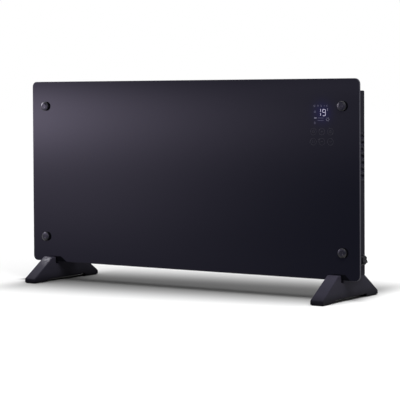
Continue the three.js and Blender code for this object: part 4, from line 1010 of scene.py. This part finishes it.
def model_screw():
    nothing_selected()
    bpy.ops.mesh.primitive_cylinder_add(
        vertices=40,
        radius=SCREW_RADIUS,
        depth=SCREW_HEAD,
        location=(0, SCREW_HEAD / 2, 0),
        rotation=(math.pi / 2, 0, 0),
    )
    made = named("case_screw_1", zinc_finish)
    soft_edges(made, SCREW_EDGE, 5)
    for scale in ((CROSS_LENGTH, CROSS_LENGTH, CROSS_WIDTH), (CROSS_WIDTH, CROSS_LENGTH, CROSS_LENGTH)):
        nothing_selected()
        bpy.ops.mesh.primitive_cube_add(size=1, location=(0, SCREW_HEAD + CROSS_ABOVE, 0), scale=scale)
        cutter = bpy.context.object
        modified(made, "BOOLEAN", object=cutter, operation="DIFFERENCE", solver="EXACT")
        bpy.data.objects.remove(cutter)
    return made


first_screw = model_screw()
print(f"a screw head of {2000 * SCREW_RADIUS:.1f} mm has {len(first_screw.data.polygons)} faces")

# %% Copy the screw round the back
SCREW_INSET = 7 * MM
SCREW_HEIGHTS = (0.086, 0.252, 0.418)
screw_x = abs(cap_inner_edge[0] + SCREW_INSET)
spots = [Vector((side * screw_x, CASE_BACK, z)) for side in (-1, 1) for z in SCREW_HEIGHTS]
for number, spot in enumerate(spots[1:], start=2):
    belongs(copied(first_screw, f"case_screw_{number}", spot))
first_screw.data.transform(Matrix.Translation(spots[0]))
belongs(first_screw)
print(f"{len(spots)} screws, {1000 * screw_x:.0f} mm from the middle")

# %% [markdown]
# ## Floor, backdrop and light
# The heater stands on a pale floor in front of white. The floor and the world are white only to the camera
# and to mirrors, so that the lamps can stay at a plain level. The floor carries a painted shadow: it is
# painted soft grey under the heater, where little light reaches it, and a small darker painted shadow beside
# the left foot shows under its arch. Lamps alone could cast such a shade, but a colour of the floor can be set
# patch by patch.

# %% A colour that only the camera and mirrors see
def seen_as(tree, shown, plain):
    """A plain colour that camera, glossy and transmission rays see as the shown one."""
    rays = ("Is Camera Ray", "Is Glossy Ray", "Is Transmission Ray")
    camera_ray, glossy_ray, passing_ray = (tree.node("ShaderNodeLightPath", output=ray) for ray in rays)
    return tree.mixed(camera_ray.at_least(glossy_ray).at_least(passing_ray), plain, shown)


WHITE, BLACK = (1.0, 1.0, 1.0), (0.0, 0.0, 0.0)
print("floor and world share one way of being white")

# %% Floor
FLOOR_SIZE, FLOOR_PLAIN = 60, 0.22
SHADE_LEFT, SHADE_BACK, SHADE_TURN = 0.012, 0.05, 0.12
SHADE_DEPTH, SHADE_LENGTH, SHADE_SHARE = (0.03, 0.32), (0.355, 0.46), 0.74
ARCH_SHADOW_X, ARCH_SHADOW_Y = -0.425, 0.022
ARCH_SHADOW_LENGTH, ARCH_SHADOW_DEPTH, ARCH_SHADOW_SHARE = (0.033, 0.063), (0.06, 0.105), 0.96


def floor_finish():
    finish = Finish("floor", {"Roughness": 1.0, "Specular IOR Level": 0.0})
    x, y, _ = finish.xyz()
    # painted shadow: soft grey under the heater, and a darker patch beside the left foot that shows under its
    # arch
    depth = 1 - finish.smooth(abs(y - x * SHADE_TURN - SHADE_BACK), *SHADE_DEPTH)
    length = 1 - finish.smooth(abs(x + SHADE_LEFT), *SHADE_LENGTH)
    beside_foot = 1 - finish.smooth(abs(x - ARCH_SHADOW_X), *ARCH_SHADOW_LENGTH)
    behind_arch = 1 - finish.smooth(abs(y - ARCH_SHADOW_Y), *ARCH_SHADOW_DEPTH)
    shade = (depth * length * SHADE_SHARE).at_least(beside_foot * behind_arch * ARCH_SHADOW_SHARE)
    finish.feed("Base Color", seen_as(finish, finish.mixed(shade, WHITE, BLACK), (FLOOR_PLAIN,) * 3))
    return finish


nothing_selected()
bpy.ops.mesh.primitive_plane_add(size=FLOOR_SIZE)
floor = bpy.context.object
floor.name = "floor"
floor.data.materials.append(floor_finish().material)
print(f"the floor reflects {FLOOR_PLAIN} to the lamps")

# %% World
WORLD_LEVEL = 0.2
world = bpy.data.worlds.new("studio")
world.use_nodes = True
bpy.context.scene.world = world
room = Tree(world.node_tree, "Background")
room.feed("Color", seen_as(room, WHITE, (WORLD_LEVEL,) * 3))
print("world lights the room at", WORLD_LEVEL)

# %% [markdown]
# A broad lamp from above gives the soft studio light, and a smaller key lamp at the right lights the casing's
# end and the right foot. A very small lamp puts the highlight on the left foot's prong. It acts on gloss
# alone, and it is weak and narrow enough to leave the pieces round it as they are.

# %% The top light and the key light
TOP_WAY, TOP_LEVEL, TOP_ANGLE = Vector((0, -0.1, 1)), 0.82, 110
KEY_PLACE = Vector((0.85, -0.6, 0.95))
KEY_AIM = Vector((0.36, -0.05, 0.05))
KEY_LEVEL, KEY_SIZE = 0.46, 0.5


def lamp(kind, name, place, way):
    """A lamp at a place that shines against a way: the way points from what is lit towards the lamp."""
    bpy.ops.object.light_add(type=kind, location=place)
    made = bpy.context.object
    made.name = name
    made.rotation_euler = (-way).to_track_quat("-Z", "Y").to_euler()
    return made


top_light = lamp("SUN", "top_light", (0, 0, 0), TOP_WAY)
top_light.data.energy = TOP_LEVEL * math.pi
top_light.data.angle = math.radians(TOP_ANGLE)

key_way = KEY_PLACE - KEY_AIM
key_light = lamp("AREA", "key_light", KEY_PLACE, key_way)
key_light.data.size = KEY_SIZE
key_light.data.energy = KEY_LEVEL * key_way.length_squared * math.pi ** 2
print(f"key light of {key_light.data.energy:.2f} W at {key_way.length:.2f} m")

# %% The small lamp for the left prong
PRONG_TOP = Vector((-0.392, -0.053, 0.057))
PRONG_GLOSS_WAY = Vector((-0.64, 0.19, 0.75))
PRONG_GLOSS_OFF, PRONG_GLOSS_SIZE = 0.062, 0.02
PRONG_GLOSS_POWER, PRONG_GLOSS_SPREAD = 0.014, 70
gloss = lamp("AREA", "prong_gloss", PRONG_TOP + PRONG_GLOSS_WAY * PRONG_GLOSS_OFF, PRONG_GLOSS_WAY)
gloss.data.size = PRONG_GLOSS_SIZE
gloss.data.spread = math.radians(PRONG_GLOSS_SPREAD)
gloss.data.energy = PRONG_GLOSS_POWER
gloss.visible_camera = gloss.visible_diffuse = gloss.visible_transmission = False
print(f"the prong's lamp has {1000 * PRONG_GLOSS_POWER:.0f} mW")

# %% [markdown]
# A mirror is lit by what it reflects. The soft card hangs upright in front of the glass, where only
# reflections see it. It is brightest left of its middle, level with the upper part of the glass, and falls
# off smoothly, and its rims fade away so that no edge shows. A lamp would show as a hard shape in the glass.
# A narrow card at the left puts a bright line on the knobs' rims.

# %% The soft card
CARD_FIXED = {"Base Color": (*BLACK, 1), "Specular IOR Level": 0.0, "Emission Strength": 1.0}
CARD_Y = -0.3
CARD_X, CARD_Z = -0.2, 0.55
CARD_WIDTH, CARD_HEIGHT, CARD_RIM = 4.4, 2.2, 0.5
CARD_DARK, CARD_BRIGHT = (0.17, 0.18, 0.36), (5.9, 5.25, 7.2)
PEAK_X, PEAK_Z, PEAK_SHARE = -0.67, 0.4, 0.68
PEAK_FALL, PEAK_BLUNT = 0.41, 0.004
PEAK_RISE, PEAK_STEEPER = 0.108, 0.35
POOLS = (
    ((-0.64, 0.243), (0.58, 0.22), 0.22),
    ((-0.1, 0), (0.5, 0.08), 0.02),
    ((0.35, 0.47), (0.35, 0.03), 0.06),
)


def card_peak(finish):
    """The card's brightest place: it falls off evenly to both sides, and faster above than below."""
    x, _, z = finish.xyz()
    from_peak = x - PEAK_X
    away = (from_peak * from_peak + PEAK_BLUNT).root() * (1 / PEAK_FALL)
    over = (z - PEAK_Z) * (1 / PEAK_RISE)
    high = over * (1 + over.at_least(0) * PEAK_STEEPER)
    return (away + high * high).fade()


def card_finish():
    finish = Finish("soft_card", CARD_FIXED)
    x, _, z = finish.xyz()
    level = card_peak(finish) * PEAK_SHARE
    for centre, spread, share in POOLS:
        level = level + finish.hill(centre, spread) * share
    finish.feed("Emission Color", finish.mixed(level, CARD_DARK, CARD_BRIGHT))
    side = finish.smooth(CARD_WIDTH / 2 - abs(x - CARD_X), 0, CARD_RIM)
    top = finish.smooth(CARD_HEIGHT / 2 - (z - CARD_Z), 0, CARD_RIM)
    finish.feed("Alpha", side * top)
    return finish


def hang_card(name, finish, place, turn, width, shade_by_height):
    """An upright sheet that only mirrors see."""
    nothing_selected()
    bpy.ops.mesh.primitive_plane_add(size=1, location=place, rotation=(-math.pi / 2, 0, turn))
    bpy.context.object.scale = (width, shade_by_height, 1)
    card = named(name, finish)
    card.visible_camera = card.visible_diffuse = card.visible_shadow = card.visible_transmission = False


hang_card("soft_card", card_finish(), (CARD_X, CARD_Y, CARD_Z), 0, CARD_WIDTH, CARD_HEIGHT)
print(f"the soft card hangs {1000 * (GLASS_FRONT - CARD_Y):.0f} mm in front of the glass")

# %% A narrow card that lights the knobs' rims
SIDE_PLACE = (-1.0, -0.16, 0.8)
SIDE_WIDTH, SIDE_HEIGHT = 0.24, 0.66
SIDE_LEVEL = (11.0, 10.4, 12.0)
side_finish = Finish("side_card", {**CARD_FIXED, "Emission Color": (*SIDE_LEVEL, 1)})
hang_card("side_card", side_finish, SIDE_PLACE, math.pi / 2, SIDE_WIDTH, SIDE_HEIGHT)
print("two cards hang where only mirrors see them")

# %% [markdown]
# Blender's usual view softens bright colours, as film does. These finishes are mixed for the Standard view,
# which shows a colour as it is written and leaves a white floor white.

# %% Show the colours as they are written
bpy.context.scene.view_settings.view_transform = "Standard"
print("view transform:", bpy.context.scene.view_settings.view_transform)

# %% [markdown]
# Last, the script prints that it has come to its end.

# %% The end
print("the end")
